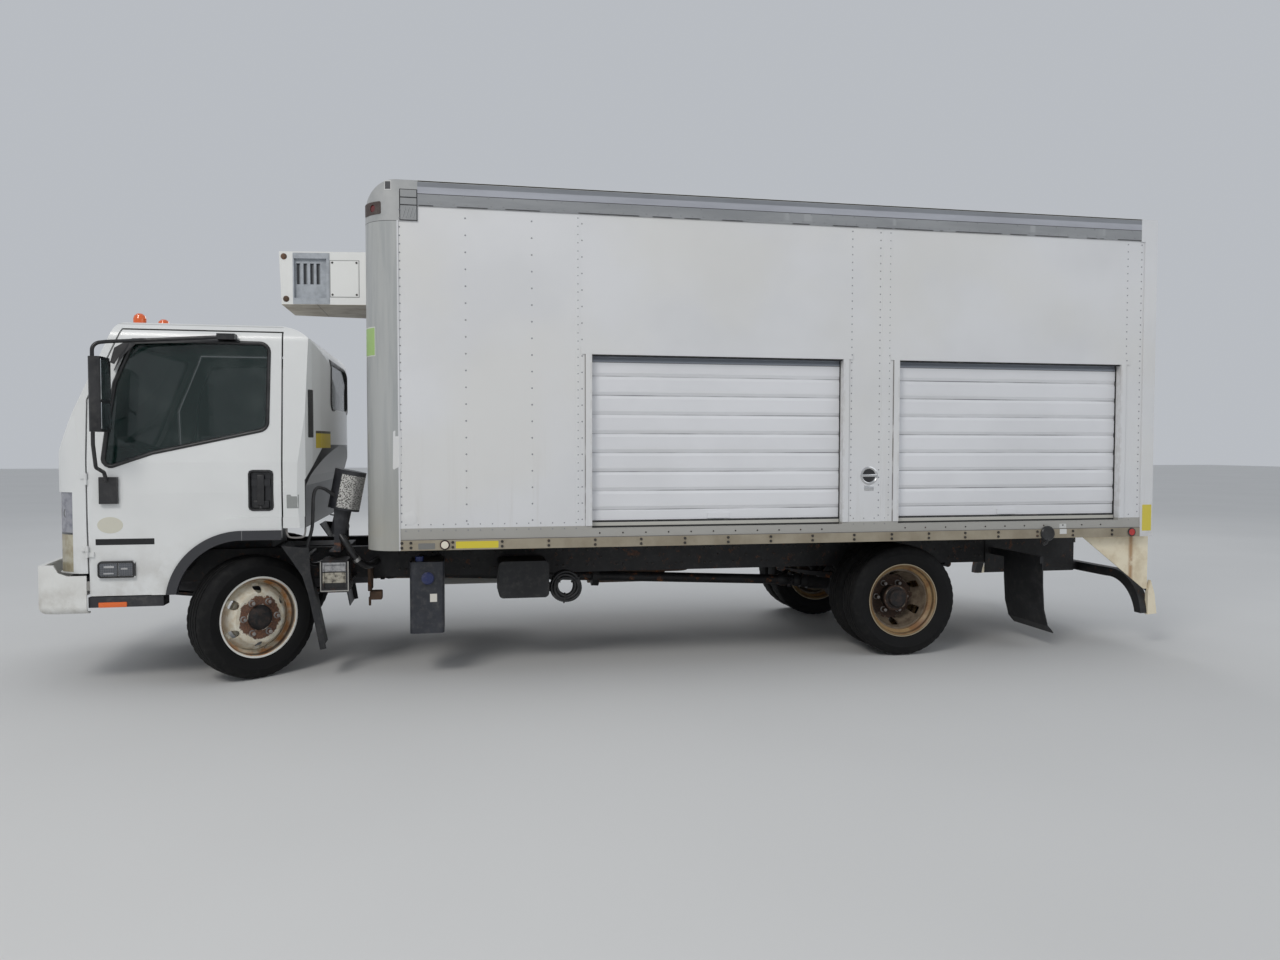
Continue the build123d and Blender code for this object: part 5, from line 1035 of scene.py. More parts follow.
screen = rounded_outline([(-0.9, 1.478), (0.9, 1.478), (0.835, 2.160), (-0.835, 2.160)],
                         0.06, 0.06, 0.07, 0.07)
dense = []
for i, p in enumerate(screen):
    q = screen[(i + 1) % len(screen)]
    parts = max(1, int((q - p).length / 0.06))
    dense += [p.lerp(q, k / parts) for k in range(parts)]
cab_parts = ("cab_shell", "cab_front_panel", "cab_glass")
front = Face((1, 0, 0), FA, *cab_parts)
seal("windshield_seal", dense, front, "cab", inner=0.018)
back_line = rounded_outline([(-0.48, 1.745), (0.48, 1.745), (0.455, 2.075), (-0.455, 2.075)], 0.06)
seal("rear_window_seal", back_line, Face((-1, 0, 0), FA, *cab_parts), "cab", inner=0.012)

# Wipers: arms and blades that follow the windshield
wipers = Shape()
for foot_y, tip_y in ((-0.62, 0.02), (0.30, 0.86)):
    base = front.drop((foot_y, 1.462), 0.012)
    elbow = front.drop(((foot_y + tip_y) / 2, 1.62), 0.030)
    wipers.lathe([(0.019, -0.01), (0.019, 0.012), (0.010, 0.020), (0, 0.020)], base, (-1, 0, 0.2), 16)
    wipers.sweep([base, base.lerp(elbow, 0.5) + Vector((-0.012, 0, 0)), elbow], 6, 0.007)
    blade = [front.drop((foot_y + 0.08 + (tip_y - foot_y) * t, 1.535 + 0.16 * t), 0.010)
             for t in [k / 14 for k in range(15)]]
    wipers.pipe([p for p in blade if p is not None], 0.006, 6)
wipers.make("wipers", trim_black, "cab", True)


def bordered(shape, outline, levels, end=False):
    """Rows of an outline, each moved outwards and set at a distance from the middle plane."""
    shape.rows([[shape.spot((p.x, y, p.y)) for p in shifted(outline, shift)] for shift, y in levels], end)


# Door pull handles, corner lamps and bare stickers on the doors, and the mirrors' glasses
handle_line = rectangle(0.072, 0.224, 1.085, 1.343, 0.03, 6)
corner_line = rounded_outline([(-0.795, 0.686), (-0.583, 0.686), (-0.583, 0.790), (-0.795, 0.790)],
                              0.022, 0.016, 0.02, 0.024)
fairing_line = [Vector(q) for q in ((-0.722, 2.000), (-0.700, 1.990), (-0.650, 2.070), (-0.590, 2.128),
                                    (-0.640, 2.128), (-0.700, 2.090))]
oval_line = [Vector((-0.720 + 0.072 * math.cos(t), 1.009 + 0.050 * math.sin(t))) for t in turns(32)]
for side, word in SIDES:
    face = side_face(side, FA, "door_" + word)
    bezel = Shape(FA, side)
    bordered(bezel, handle_line, ((0.0, 1.0155), (-0.002, 1.0215), (-0.012, 1.0225), (-0.016, 1.0155),
                                  (-0.018, 0.9915)), end=True)
    bezel.box(0.125, 0.168, 1.012, 1.0225, 1.120, 1.312, 0.006)
    bezel.box(0.100, 0.196, 0.998, 1.014, 1.102, 1.150, 0.006)
    bezel.dome((0.147, 1.0222, 1.105), OUT, 0.009, 0.002, 14)
    case = Shape(FA, side)
    bordered(case, corner_line, ((0.0, 1.004), (-0.002, 1.0225), (-0.011, 1.0245), (-0.013, 1.0215)))
    case.box(-0.682, -0.676, 1.015, 1.0243, 0.697, 0.779, 0.001)
    lenses = Shape(FA, side)
    lenses.box(-0.783, -0.682, 1.012, 1.0228, 0.698, 0.778, 0.006)
    lenses.box(-0.676, -0.595, 1.012, 1.0228, 0.698, 0.778, 0.006)
    glints = Shape(FA, side)
    for x0, x1, z0, z1 in ((-0.758, -0.700, 0.749, 0.761), (-0.760, -0.702, 0.711, 0.719),
                           (-0.662, -0.624, 0.738, 0.748)):
        glints.box(x0, x1, 1.020, 1.0233, z0, z1, 0.002)
    strip = Shape()
    patch(strip, face, rectangle(-0.804, -0.474, 0.888, 0.925, 0.001), 0.0010)
    fairing = Shape()
    patch(fairing, face, fairing_line, 0.0030)
    oval = Shape()
    patch(oval, face, oval_line, 0.0008)
    mirrors = Shape(FA, side)
    mirrors.box(-0.668, -0.6624, 1.127, 1.283, 1.758, 1.992, 0.004)
    mirrors.box(-0.668, -0.6624, 1.127, 1.283, 1.589, 1.741, 0.004)
    for shape, name, material, smooth in (
        (bezel, "door_handle_", trim_black, True),
        (case, "corner_lamp_case_", trim_black, True),
        (lenses, "corner_lamp_lens_", lens("corner_clear_" + word, (0.075, 0.08, 0.09), 480), True),
        (glints, "corner_lamp_glints_", chrome, True),
        (strip, "bare_strip_", sticker("strip_black_" + word, (0.012, 0.012, 0.013), worn=0.1), False),
        (fairing, "door_fairing_", trim_black, False),
        (oval, "oval_patch_", sticker("oval_" + word, (0.66, 0.64, 0.54), worn=0.8), True),
        (mirrors, "mirror_glass_", mirror_glass, True),
    ):
        shape.make(name + word, material, "door_" + word, smooth)

# Marker lamps in the sills
marker = Shape(FA)
for side in marker.both():
    marker.box(-0.797, -0.637, 0.998, 1.0075, 0.505, 0.537, 0.004)
marker.make("sill_markers", orange, "cab", True)

# Cab corner panels: vent strip and lift catch on both sides, bare labels on the left
for side, word in SIDES:
    face = side_face(side, FA, "cab_shell")
    vent = Shape()
    patch(vent, face, rectangle(0.424, 0.446, 1.545, 1.850), 0.003)
    for k in range(12):
        z = 1.560 + k * 0.024
        patch(vent, face, rectangle(0.428, 0.442, z, z + 0.010, 0.002), 0.0055)
    vent.make("corner_vent_" + word, trim_black, "cab")
    catch = Shape(FA, side)
    catch.sweep([(0.292, 0.985, 0.985), (0.296, 0.992, 0.940), (0.318, 0.996, 0.915), (0.388, 0.996, 0.915),
                 (0.404, 0.992, 0.940), (0.406, 0.985, 0.985)], 5, 0.006)
    catch.make("corner_catch_" + word, dull_steel, "cab", True)
corner = side_face(-1, FA, "cab_shell")
for name, z0, z1, tone in (("yellow", 1.478, 1.574, (0.66, 0.50, 0.03)),
                           ("dark", 1.574, 1.590, (0.07, 0.06, 0.03))):
    label = Shape()
    grid_patch(label, corner, 0.455, 0.503, z0, z1)
    label.make("corner_label_" + name, sticker("label_" + name, tone), "cab")
label = Shape()
patch(label, corner, rectangle(0.300, 0.372, 1.100, 1.186))
label.make("corner_label_grey", sticker("label_grey", (0.30, 0.31, 0.30), worn=0.9), "cab")


def cushion(shape, x, y, z, lean=0.0):
    """A rounded pad between limits, with two sewn channels; lean shifts X with height."""
    work = bmesh.new()
    bmesh.ops.create_cube(work, size=2.0)
    bmesh.ops.subdivide_edges(work, edges=work.edges[:], cuts=11, use_grid_fill=True)
    power = 5.0
    for v in work.verts:
        p = v.co / sum(abs(c) ** power for c in v.co) ** (1 / power)
        if abs(p.z) > 0.9 or abs(p.x) > 0.9:
            p = p * (1 - 0.02 * math.exp(-((abs(p.y) - 0.62) / 0.03) ** 2))
        height = ((z[0] + z[1]) + p.z * (z[1] - z[0])) / 2
        v.co = shape.spot((((x[0] + x[1]) + p.x * (x[1] - x[0])) / 2 + lean * (height - z[0]),
                           ((y[0] + y[1]) + p.y * (y[1] - y[0])) / 2, height))
    shape.take(work)


# Seats: crowned cushions and backs in place of the plain solids, with piping
seats = Shape(FA)
piping = Shape(FA)
for low, high, heads in ((-0.740, -0.235, (-0.4875,)), (-0.170, 0.740, (0.055, 0.515))):
    span = (low + 0.004, high - 0.004)
    cushion(seats, (-0.298, 0.200), span, (1.165, 1.308))
    cushion(seats, (0.140, 0.268), span, (1.255, 1.780), lean=0.16)
    for y in heads:
        cushion(seats, (0.240, 0.345), (y - 0.13, y + 0.13), (1.788, 1.926))
    seats.box(-0.29, 0.19, low + 0.03, high - 0.03, 1.151, 1.172, 0.004)
    piping.pipe([(-0.285, low + 0.03, 1.302), (-0.285, high - 0.03, 1.302)], 0.004, 6)
pads = seats.make("seat_pads", seat_material(), "cab", True, "seat_fabric")
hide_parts("seats")
piping.make("seat_piping", trim_black, "cab", True)

# Dashboard fittings: gauge hood, vents, stalks and gear lever
dash = Shape(FA)
dash.box(-0.86, -0.765, -0.68, -0.32, 1.385, 1.46, 0.02)
for y in (-0.86, -0.14, 0.14, 0.80):
    dash.box(-0.775, -0.758, y - 0.06, y + 0.06, 1.310, 1.352, 0.004)
dash.pipe([(-0.60, -0.36, 1.36), (-0.58, -0.28, 1.37)], 0.006)
dash.pipe([(-0.60, -0.64, 1.36), (-0.58, -0.72, 1.37)], 0.006)
dash.pipe([(-0.50, -0.10, 1.152), (-0.46, -0.10, 1.36)], 0.009)
dash.lathe([(0.0, -0.024), (0.017, -0.018), (0.024, 0.0), (0.017, 0.018), (0, 0.024)],
           (-0.455, -0.10, 1.378), (0, 0, 1), 16)
dash.make("dash_fittings", dash_plastic, "cab", True)


def over_door(x, margin):
    return any(abs(x - centre) < OPENING + margin for centre in DOORS)


def places(start, end, pitch):
    return [start + k * pitch for k in range(math.ceil((end - start) / pitch))]


# Body sides: rivets in columns and rows, and the rails' bolts
rivet_grey = bare_metal("rivet_grey", (0.33, 0.34, 0.36), rough=0.45, metal=0.3)
# The columns' X, pitch and head radius
COLUMNS = ((-1.605, 0.052, 0.0052), (-1.207, 0.105, 0.0058), (-0.794, 0.105, 0.0058),
           (-0.500, 0.052, 0.0050), (-0.474, 0.105, 0.0050), (1.370, 0.052, 0.0050), (1.574, 0.052, 0.0050),
           (1.646, 0.052, 0.0050), (3.483, 0.052, 0.0050), (3.595, 0.052, 0.0052))
for side, word in SIDES:
    face = side_face(side, 0.0, "box_side_left", "box_side_right", "box_front_wall", "box_roof", "box_floor",
                     "box_rear_frame")
    rivets = Shape(0.0, side)
    bolts = Shape(0.0, side)
    for x, pitch, radius in COLUMNS:
        for z in places(1.02, 2.955, pitch):
            spot = face.drop((x, z), 0.0)
            if spot is not None and abs(spot.y) > 1.2:
                rivets.dome((x, abs(spot.y), z), OUT, radius, 0.0036)
    for x in places(-1.58, 3.6, 0.0762):
        if face.drop((x, 2.990)) is not None:
            rivets.dome((x, HALF, 2.990), OUT, 0.005, 0.003)
        if not over_door(x, 0.03):
            rivets.dome((x, PANEL, 1.000), OUT, 0.0045, 0.0028)
            rivets.dome((x, 1.213, 0.962), OUT, 0.0045, 0.0028)
    for x in places(-1.52, 3.58, 0.1524):
        rivets.dome((x, HALF, 3.040), OUT, 0.005, 0.003)
    for x in (-1.605, -1.550, -1.294, -0.987, -0.691, -0.391, -0.088, 0.206, 0.502, 0.799, 1.095, 1.396,
              1.672, 1.949, 2.225, 2.481, 2.787, 3.070, 3.387):
        bolts.nut((x, HALF, 0.887), OUT, 0.0095, 0.006)
        bolts.nut((x, HALF, 0.857), OUT, 0.0095, 0.006)
    for x in places(-0.36, 3.5, 0.1524):
        if over_door(x, -0.02):
            bolts.dome((x, 1.213, 0.930), OUT, 0.006, 0.004)
    rivets.make("rivets_" + word, rivet_grey, smooth=True)
    bolts.make("rail_bolts_" + word, bolt_dark)

# Panel laps, the roof rails' lip and lower line, the rear posts' edge over the rails' ends, door seals
boxed("panel_laps", side_paint, 0.0, BOTH,
      (-0.515, -0.487, PANEL - 0.001, PANEL + 0.0018, 0.979, 2.965, 0.0008),
      (1.590, 1.655, PANEL - 0.001, PANEL + 0.0018, 0.979, 2.965, 0.0008))
boxed("roof_lip", metal, FA, BOTH, (1.12, 6.22, HALF - 0.006, HALF, 3.118, 3.1258, 0.001),
      (1.12, 6.22, 1.2185, 1.2188, 2.9715, 2.9745, 0))
boxed("rear_post_edge", frame_paint, 0.0, BOTH,
      (3.585, 3.6175, HALF - 0.030, HALF + 0.0012, 2.9655, 3.1259, 0.001))
boxed("door_seals", black_rubber, 0.0, BOTH,
      *[box for c in DOORS for box in ((c - 0.858, c + 0.858, 1.150, 1.1645, 0.996, 1.0075, 0.003),
                                       (c - 0.8598, c - 0.8555, 1.152, 1.166, 0.978, 2.080, 0.001),
                                       (c + 0.8555, c + 0.8598, 1.152, 1.166, 0.978, 2.080, 0.001),
                                       (c - 0.859, c + 0.859, 1.158, 1.206, 2.074, 2.0815, 0.002))])

# Cooling unit: rusted corner bolts and the screws of its hatch
for name, material, profile, spots, steps in (
    ("unit_bolts", exhaust_rust,
     [(0.021, 0.0), (0.021, 0.003), (0.015, 0.006), (0.013, 0.010), (0.0, 0.012)],
     ((0.178, 0.28, 2.808), (0.191, 0.28, 2.515)), 18),
    ("unit_screws", bolt_dark, [(0.0075, 0.0), (0.0075, 0.002), (0.0, 0.003)],
     [(x, 0.2825, z) for x in (0.506, 0.671) for z in (2.546, 2.768)], 14),
):
    turned(name, material, FA, BOTH, profile, (-0.1377, 0.9905, 0), steps,
           *[(x, y + 0.139 * (x - 0.145), z) for x, y, z in spots])

# Hoses behind the cab with their clamps
hoses = Shape(FA)
hoses.sweep([(0.60, -0.83, 1.14), (0.50, -0.90, 1.22), (0.452, -0.93, 1.19), (0.441, -0.945, 0.98),
             (0.412, -0.945, 0.86), (0.408, -0.93, 0.765), (0.44, -0.80, 0.72), (0.48, -0.44, 0.72)],
            6, 0.011)
hoses.sweep([(0.585, -0.80, 0.925), (0.640, -0.83, 0.845), (0.700, -0.82, 0.745), (0.760, -0.70, 0.690),
             (0.80, -0.44, 0.690)], 6, 0.024, 10)
hoses.make("cab_hoses", trim_black, smooth=True)
clamps = Shape(FA)
clamps.pipe([(0.694, -0.823, 0.755), (0.706, -0.818, 0.735)], 0.0265, 14)
clamps.pipe([(0.409, -0.932, 0.800), (0.4085, -0.930, 0.772)], 0.0135, 12)
clamps.make("hose_clamps", metal, smooth=True)

# The reservoir's blue filler and bare label, and a rusted spring hanger
turned("reservoir_filler", plastic("filler_blue", (0.012, 0.02, 0.085), rough=0.45), FA, (-1,),
       [(0.040, 0.0), (0.040, 0.016), (0.033, 0.022), (0.012, 0.022), (0.0, 0.024)], OUT, 20,
       (1.163, 1.1095, 0.650))
boxed("reservoir_label", sticker("reservoir_note", (0.72, 0.69, 0.62)), FA, (-1,),
      (1.176, 1.220, 1.1095, 1.1115, 0.497, 0.549, 0.0008))
boxed("spring_hanger", exhaust_rust, FA, (-1,), (0.748, 0.772, 0.43, 0.60, 0.50, 0.66, 0.006),
      (0.760, 0.842, 0.52, 0.60, 0.44, 0.50, 0.008), (0.752, 0.768, 0.57, 0.59, 0.40, 0.46, 0.004))

# Underside: spring bolts with their plates, and shock absorbers
clips = Shape()
shocks = Shape()
for start, low, high, reach, foot, head, bracket in (
    (FA, 0.300, 0.490, 0.055, (0.115, 0.300, 0.350), (0.225, 0.345, 0.640), (0.04, 0.128)),
    (RA, 0.337, 0.522, 0.074, (-0.105, 0.300, 0.380), (-0.270, 0.345, 0.680), (-0.118, -0.03)),
):
    clips.start = shocks.start = start
    foot = Vector(foot)
    head = Vector(head)
    for side in clips.both():
        clips.box(-reach - 0.014, reach + 0.014, 0.338, 0.442, low - 0.014, low, 0.003)
        for x in (-reach, reach):
            clips.pipe([(x, 0.349, low - 0.034), (x, 0.349, high), (x, 0.356, high + 0.008),
                        (x, 0.424, high + 0.008), (x, 0.431, high), (x, 0.431, low - 0.034)], 0.008)
            clips.nut((x, 0.349, low - 0.014), (0, 0, -1), 0.0145, 0.013)
            clips.nut((x, 0.431, low - 0.014), (0, 0, -1), 0.0145, 0.013)
    for side in shocks.both():
        wide = Vector((0, side * 0.028, 0))
        shocks.pipe([foot, foot.lerp(head, 0.55)], 0.026, 16)
        shocks.pipe([foot.lerp(head, 0.45), foot.lerp(head, 0.96)], 0.032, 16)
        shocks.pipe([foot - wide, foot + wide], 0.020, 12)
        shocks.pipe([head - Vector((0, 0.028, 0)), (head.x, 0.4168, head.z)], 0.020, 12)
        shocks.box(*bracket, 0.322, 0.334, foot.z - 0.025, foot.z + 0.025, 0.003)
clips.make("spring_bolts", bolt_dark)
shocks.make("shock_absorbers", rusty_black("shock_black", rust=0.35), smooth=True)

# Shaft joints with a centre bearing and its hanger
joints = Shape()
shaft_rear = Vector((RA - 0.390, 0, 0.409))
shaft_front = Vector((FA + 0.720, 0, 0.560))
along = (shaft_front - shaft_rear).normalized()
for end, toward in ((shaft_rear, along), (shaft_front, -along)):
    joints.lathe([(0.046, 0.0), (0.054, 0.012), (0.054, 0.040), (0.044, 0.060)], end, toward, 20)
    for arm in (Vector((0, 0.058, 0)), Vector((0, 0, 0.058))):
        middle = end + toward * 0.082
        joints.pipe([middle - arm, middle + arm], 0.016, 12)
    joints.lathe([(0.044, 0.104), (0.054, 0.124), (0.050, 0.165), (0.041, 0.190)], end, toward, 20)
bearing = shaft_rear.lerp(shaft_front, 0.5)
x = bearing.x
z = bearing.z
joints.lathe([(0.050, -0.030), (0.078, -0.026), (0.078, 0.026), (0.050, 0.030)], bearing, along, 24)
joints.box(x - 0.020, x + 0.020, -0.150, 0.150, z + 0.070, z + 0.082, 0.003)
for side in joints.both():
    joints.box(x - 0.018, x + 0.018, 0.120, 0.132, z + 0.080, 0.660, 0.003)
joints.make("shaft_joints", rusty_black("shaft_black", rust=0.4), smooth=True)

# Brake lines, and the rivets of the frame's cross members
lines = Shape(RA)
for side in lines.both():
    lines.sweep([(0.030, 0.560, 0.446), (0.030, 0.440, 0.449), (0.034, 0.300, 0.449), (0.060, 0.215, 0.470),
                 (0.080, 0.120, 0.556), (0.085, 0.020, 0.585)], 5, 0.0045)
lines.sweep([(0.085, 0.0, 0.585), (0.16, 0.10, 0.60), (0.20, 0.28, 0.66), (0.21, 0.410, 0.70)], 6, 0.008)
lines.make("brake_lines", black_rubber, smooth=True)
frame_rivets = Shape(FA + 0.95)
for side in frame_rivets.both():
    for group in range(24):
        for dx, z in ((0, 0.735), (0.045, 0.735), (0, 0.625), (0.045, 0.625), (0.100, 0.680)):
            frame_rivets.dome((group * 0.222 + dx, 0.425, z), OUT, 0.0085, 0.006)
frame_rivets.make("frame_rivets", bolt_dark, smooth=True)

# Rear door: latch with lift handle and keepers, and pull strap
latch = Shape(REAR)
latch.box(0.0255, 0.0290, -0.078, 0.078, 1.127, 1.183, 0.001)
latch.box(0.028, 0.044, -0.014, 0.014, 1.132, 1.178, 0.004)
latch.pipe([(0.046, -0.050, 1.155), (0.050, 0.0, 1.155), (0.046, 0.050, 1.155)], 0.007)
latch.pipe([(0.003, -0.060, 1.036), (0.036, -0.056, 1.036), (0.036, 0.056, 1.036), (0.003, 0.060, 1.036)],
           0.007)
for side in latch.both():
    latch.box(0.006, 0.017, 0.086, 0.260, 1.148, 1.162, 0.002)
    latch.box(0.005, 0.022, 0.225, 0.245, 1.140, 1.170, 0.003)
    for z in (1.135, 1.175):
        latch.dome((0.029, 0.070, z), (1, 0, 0), 0.005, 0.003)
latch.make("rear_door_latch", metal, smooth=True)
boxed("rear_door_strap", black_rubber, REAR, (1,), (0.007, 0.012, 0.300, 0.340, 1.000, 1.500, 0.001),
      (0.006, 0.017, 0.290, 0.350, 1.485, 1.525, 0.003))

# Reflectors and marker lamps of the rear frame, and a blank plate on its bracket
FRAME_BACK = 3.7160
reflectors = Shape(FRAME_BACK)
for side in reflectors.both():
    reflectors.lathe([(0.038, 0.0), (0.038, 0.005), (0.030, 0.008), (0.0, 0.009)], (0, 1.140, 1.20),
                     (1, 0, 0), 28)
    reflectors.lathe([(0.030, 0.0), (0.030, 0.010), (0.0, 0.013)], (0, 1.140, 2.95), (1, 0, 0), 24)
for y in (-0.16, 0.0, 0.16):
    reflectors.lathe([(0.026, 0.0), (0.026, 0.010), (0.0, 0.013)], (0, y, 3.00), (1, 0, 0), 24)
reflectors.make("rear_reflectors", red, smooth=True)
boxed("rear_plate_blank", sticker("plate_blank", (0.70, 0.70, 0.66)), FRAME_BACK, (1,),
      (0, 0.0025, -0.36, -0.055, 0.705, 0.857, 0.001), (-0.0060, 0.0005, -0.30, -0.26, 0.700, 0.850, 0.001),
      (-0.0060, 0.0005, -0.155, -0.115, 0.700, 0.850, 0.001))

# Side lock: a round chromed dish with a bar and a small plate under it, on the left only
LOCK = (1.503, PANEL, 1.293)
lock = Shape(0.0, -1)
lock.lathe([(0.062, 0.0), (0.062, 0.004), (0.055, 0.0065), (0.050, 0.003), (0.046, 0.0015), (0.0, 0.001)],
           LOCK, OUT, 40)
lock.box(1.448, 1.558, PANEL + 0.001, PANEL + 0.0075, 1.284, 1.302, 0.003)
lock.box(1.470, 1.538, PANEL - 0.001, PANEL + 0.003, 1.190, 1.224, 0.001)
lock.dome((1.504, PANEL + 0.002, 1.207), OUT, 0.005, 0.003)
lock.make("side_lock", chrome, smooth=True)
turned("side_lock_dish", trim_black, 0.0, (-1,), [(0.046, 0.0018), (0.0455, 0.0028), (0.0, 0.0028)], OUT, 40,
       LOCK)

# Labels left bare, with the colours of the real ones, and two places of later paint
flat = side_face(-1, 0.0, "box_side_left", "box_front_wall", "box_floor", "box_rear_frame")
for name, span, tone in (
    ("label_small", (-1.505, -1.402, 0.846, 0.884), (0.20, 0.20, 0.19)),
    ("label_rail_yellow", (-1.275, -1.010, 0.848, 0.892), (0.72, 0.60, 0.05)),
    ("label_post_yellow", (3.633, 3.708, 0.880, 1.070), (0.72, 0.60, 0.08)),
    ("patch_white", (2.965, 3.020, 0.867, 0.902), (0.70, 0.70, 0.68)),
    ("patch_white_top", (2.965, 3.020, 0.908, 0.940), (0.62, 0.62, 0.60)),
):
    shape = Shape()
    patch(shape, flat, rectangle(*span), 0.0008)
    shape.make(name, sticker(name, tone))
mend = Shape()
patch(mend, flat, rounded_outline([(-1.655, 1.35), (-1.602, 1.32), (-1.602, 1.59), (-1.652, 1.585)],
                                  0.008, 0, 0, 0.01))
mend.make("paint_overlap", side_paint)
turned("round_patch", side_paint, 0.0, (-1,), [(0.042, 0.0), (0.042, 0.0012), (0.039, 0.002), (0.0, 0.0015)],
       OUT, 32, (-1.552, PANEL, 1.040))

# Sheets that follow the round corner posts: where their curve starts, its radius, and the lamp's place
POST_X = -1.6225
POST_R = 0.2
LAMP_ALONG = POST_R * math.radians(46)
LAMP_Z = 2.955


def post_place(side, along, z, lift):
    """Along runs forward from where the post's curve starts, measured on its face."""
    turn = along / POST_R
    reach = POST_R + lift
    if along < 0:
        return Vector((POST_X - along, side * (HALF + lift), z))
    return Vector((POST_X - reach * math.sin(turn), side * (HALF - POST_R + reach * math.cos(turn)), z))


def post_sheet(name, material, sides, x_front, x_rear, z0, z1, lift):
    shape = Shape()
    steps = 10
    a0, a1 = [POST_R * math.asin((POST_X - x) / POST_R) for x in (x_rear, x_front)]
    for side in sides:
        verts = [post_place(side, a0 + (a1 - a0) * k / steps, z, height)
                 for z, height in ((z0, -0.0008), (z0, lift), (z1, lift), (z1, -0.0008))
                 for k in range(steps + 1)]
        ends = [tuple(r * (steps + 1) + k for r in range(4)) for k in (0, steps)]
        shape.add(verts, quads(4, steps + 1, wrap=False) + ends)
    shape.make(name, material)


# Painted shade in each corner lamp's recess: a dark brown sheet shaped as a frame round the lens, sunk at
# its inner edge.
recess_shade = Shape()
for side in BOTH:
    rings = []
    for lift, inward in ((-0.0008, 0.0), (0.0030, 0.0), (0.0030, 0.25), (0.0030, 0.5), (0.0030, 0.75),
                         (0.0030, 1.0), (-0.0150, 1.0)):
        ring = []
        for turn in turns(48, 0.5):
            along = math.cos(turn)
            up = math.sin(turn)
            half = 0.104 if along > 0 else 0.064
            reach = min(half / max(abs(along), 1e-6), 0.0385 / max(abs(up), 1e-6))
            reach += (0.0225 - reach) * inward
            ring.append(post_place(side, LAMP_ALONG + along * reach, LAMP_Z + up * reach, lift))
        rings.append(ring)
    recess_shade.rows(rings)
recess_shade.make("corner_lamp_recess_shades", plastic("lamp_recess_shade_brown", (0.050, 0.034, 0.030), rough=0.55))
for name, material, sides, *limits in (
    ("label_green_edge", sticker("label_edge", (0.66, 0.68, 0.62)), (-1,),
     -1.8195, -1.757, 2.048, 2.230, 0.0010),
    ("label_green", sticker("label_green", (0.38, 0.56, 0.20)), (-1,), -1.818, -1.761, 2.055, 2.223, 0.0016),
    ("casting_window", sticker("casting_window_grey", (0.055, 0.055, 0.06)), BOTH,
     -1.688, -1.656, 3.066, 3.112, 0.0020),
    ("casting_window_edge", sticker("casting_edge", (0.62, 0.62, 0.61)), BOTH,
     -1.693, -1.651, 3.060, 3.118, 0.0012),
):
    post_sheet(name, material, sides, *limits)

# Ribbed foot of each corner casting: three cells in a dark outline, the lowest with slanted ribs
boxed("casting_foot_outline", trim_black, 0.0, BOTH,
      (-1.6035, -1.4955, HALF - 0.001, HALF + 0.0015, 2.8765, 3.0700, 0.001))
cells = Shape()
for side in cells.both():
    for z0, z1 in ((3.0215, 3.0655), (2.9755, 3.0155), (2.8820, 2.9695)):
        cells.box(-1.5985, -1.5005, HALF, HALF + 0.0042, z0, z1, 0.002)
    for k in range(4):
        x = -1.585 + k * 0.021
        cells.pipe([(x, HALF + 0.0048, 2.895), (x + 0.018, HALF + 0.0048, 2.957)], 0.0028, 6)
cells.make("casting_foot_cells", bare_metal("casting_foot_grey", (0.34, 0.35, 0.355), metal=0.2))

# Hose wound on the ring beside the tool box, with three ties
COIL_X = FA + 2.078
COIL_Z = 0.532
coil = Shape(COIL_X)
for k, (radius, y) in enumerate(((0.063, -0.8385), (0.082, -0.8415), (0.100, -0.8385),
                                 (0.063, -0.7975), (0.082, -0.7945), (0.100, -0.7975))):
    loop = []
    for angle in turns(40) + [2 * math.pi]:
        reach = radius + 0.0028 * math.sin(3 * angle + 1.7 * k)
        loop.append((reach * math.cos(angle), y + 0.0015 * math.sin(2 * angle + k),
                     COIL_Z + reach * math.sin(angle)))
    coil.pipe(loop, 0.0102, 10)
coil.make("hose_coil", trim_black, smooth=True)
ties = Shape(COIL_X)
for angle in (0.6, 2.5, 4.6):
    ring = []
    for turn in turns(24) + [2 * math.pi]:
        reach = 0.082 + 0.0335 * math.cos(turn)
        ring.append((reach * math.cos(angle), -0.818 + 0.0365 * math.sin(turn),
                     COIL_Z + reach * math.sin(angle)))
    ties.pipe(ring, 0.0042, 8)
ties.make("hose_ties", black_rubber, smooth=True)

# Rubber cup on the left rail near the rear wheels
cup = Shape(0.0, -1)
cup.lathe([(0.054, 0.0), (0.054, 0.010), (0.047, 0.017), (0.030, 0.012), (0.0, 0.010)],
          (2.865, HALF - 0.0005, 0.872), OUT, 32)
cup.pipe([(2.862, HALF + 0.008, 0.832), (2.855, HALF + 0.006, 0.806), (2.838, HALF - 0.006, 0.792)], 0.012)
cup.make("rail_cup", trim_black, smooth=True)

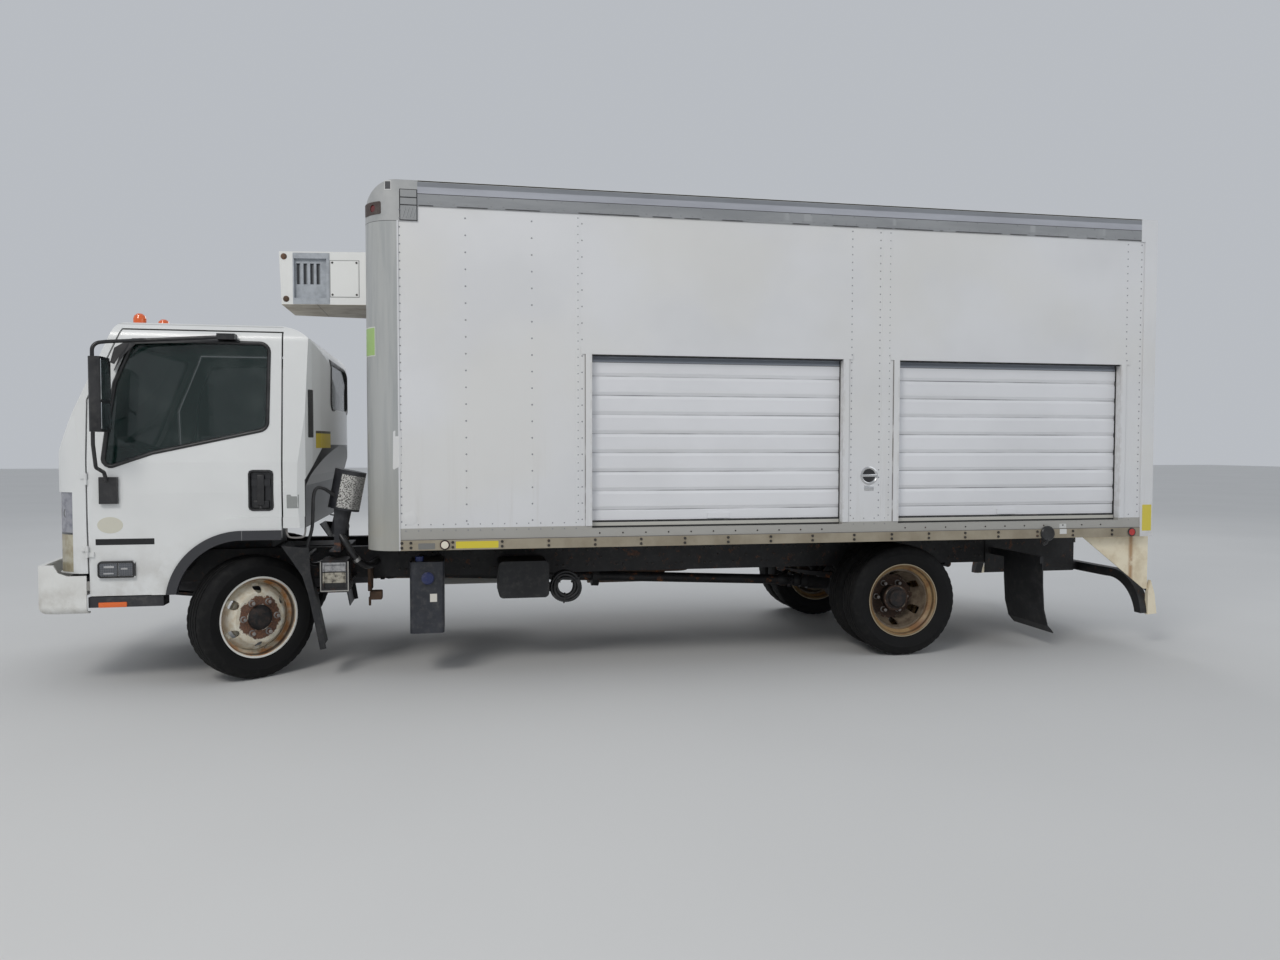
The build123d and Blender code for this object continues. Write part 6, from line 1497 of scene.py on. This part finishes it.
# Small lamps along the rail: bezels round the ones in the solids, and clear front lenses
turned("rail_lamp_bezels", black_rubber, FA, BOTH,
       [(0.031, 0.0), (0.031, 0.006), (0.0255, 0.0085), (0.0245, 0.004)], OUT, 28,
       (1.272, HALF, 0.872), (6.162, HALF, 0.872))
turned("rail_lamp_clear", clear, FA, BOTH, [(0.0235, 0.0), (0.0225, 0.0035), (0.0, 0.0050)], OUT, 28,
       (1.272, HALF + 0.0078, 0.872))

# The photograph's camera
scene = bpy.context.scene
camera_data = bpy.data.cameras.new("camera")
camera = bpy.data.objects.new("camera", camera_data)
scene.collection.objects.link(camera)
camera.location = (1.34086 + FA, -7.21698, 1.49148)
camera.rotation_euler = (math.pi / 2 - 0.03592, -0.000946, -0.193906)
camera_data.sensor_width = 36
camera_data.lens = 939.186 / 1280 * camera_data.sensor_width
camera_data.clip_end = 200
scene.camera = camera

# Pale floor and soft studio light
ground = Graph("floor")
ground.set(Base_Color=ground.mix(ground.spots(0.3, 0.7, 0.4, 2), (0.70, 0.70, 0.69), (0.68, 0.68, 0.67)),
           Roughness=0.9)
mesh = bpy.data.meshes.new("floor")
mesh.from_pydata([(-60, -60, 0), (60, -60, 0), (60, 60, 0), (-60, 60, 0)], [], [(0, 1, 2, 3)])
mesh.materials.append(ground.material)
floor = bpy.data.objects.new("floor", mesh)
scene.collection.objects.link(floor)
world = bpy.data.worlds.new("studio")
scene.world = world
world.use_nodes = True
background = world.node_tree.nodes["Background"]
background.inputs["Color"].default_value = (0.86, 0.90, 0.96, 1)
background.inputs["Strength"].default_value = 0.56

for name, place, target, size, power, tone in (
    ("key", (-6.0, -9.0, 9.0), (0, 0, 1.2), (4, 3), 430, (1.0, 0.97, 0.93)),
    ("fill", (9.0, -8.0, 6.0), (0.5, 0, 1.2), (7, 5), 90, (0.95, 0.97, 1.0)),
    ("back", (3.0, 11.0, 8.0), (0, 0, 1.5), (8, 5), 300, (1, 1, 1)),
):
    data = bpy.data.lights.new(name, "AREA")
    data.shape = "RECTANGLE"
    data.size, data.size_y = size
    data.energy = power
    data.color = tone
    light = bpy.data.objects.new(name, data)
    light.location = place
    light.rotation_euler = (Vector(target) - Vector(place)).to_track_quat("-Z", "Y").to_euler()
    scene.collection.objects.link(light)

scene.view_settings.view_transform = "Standard"
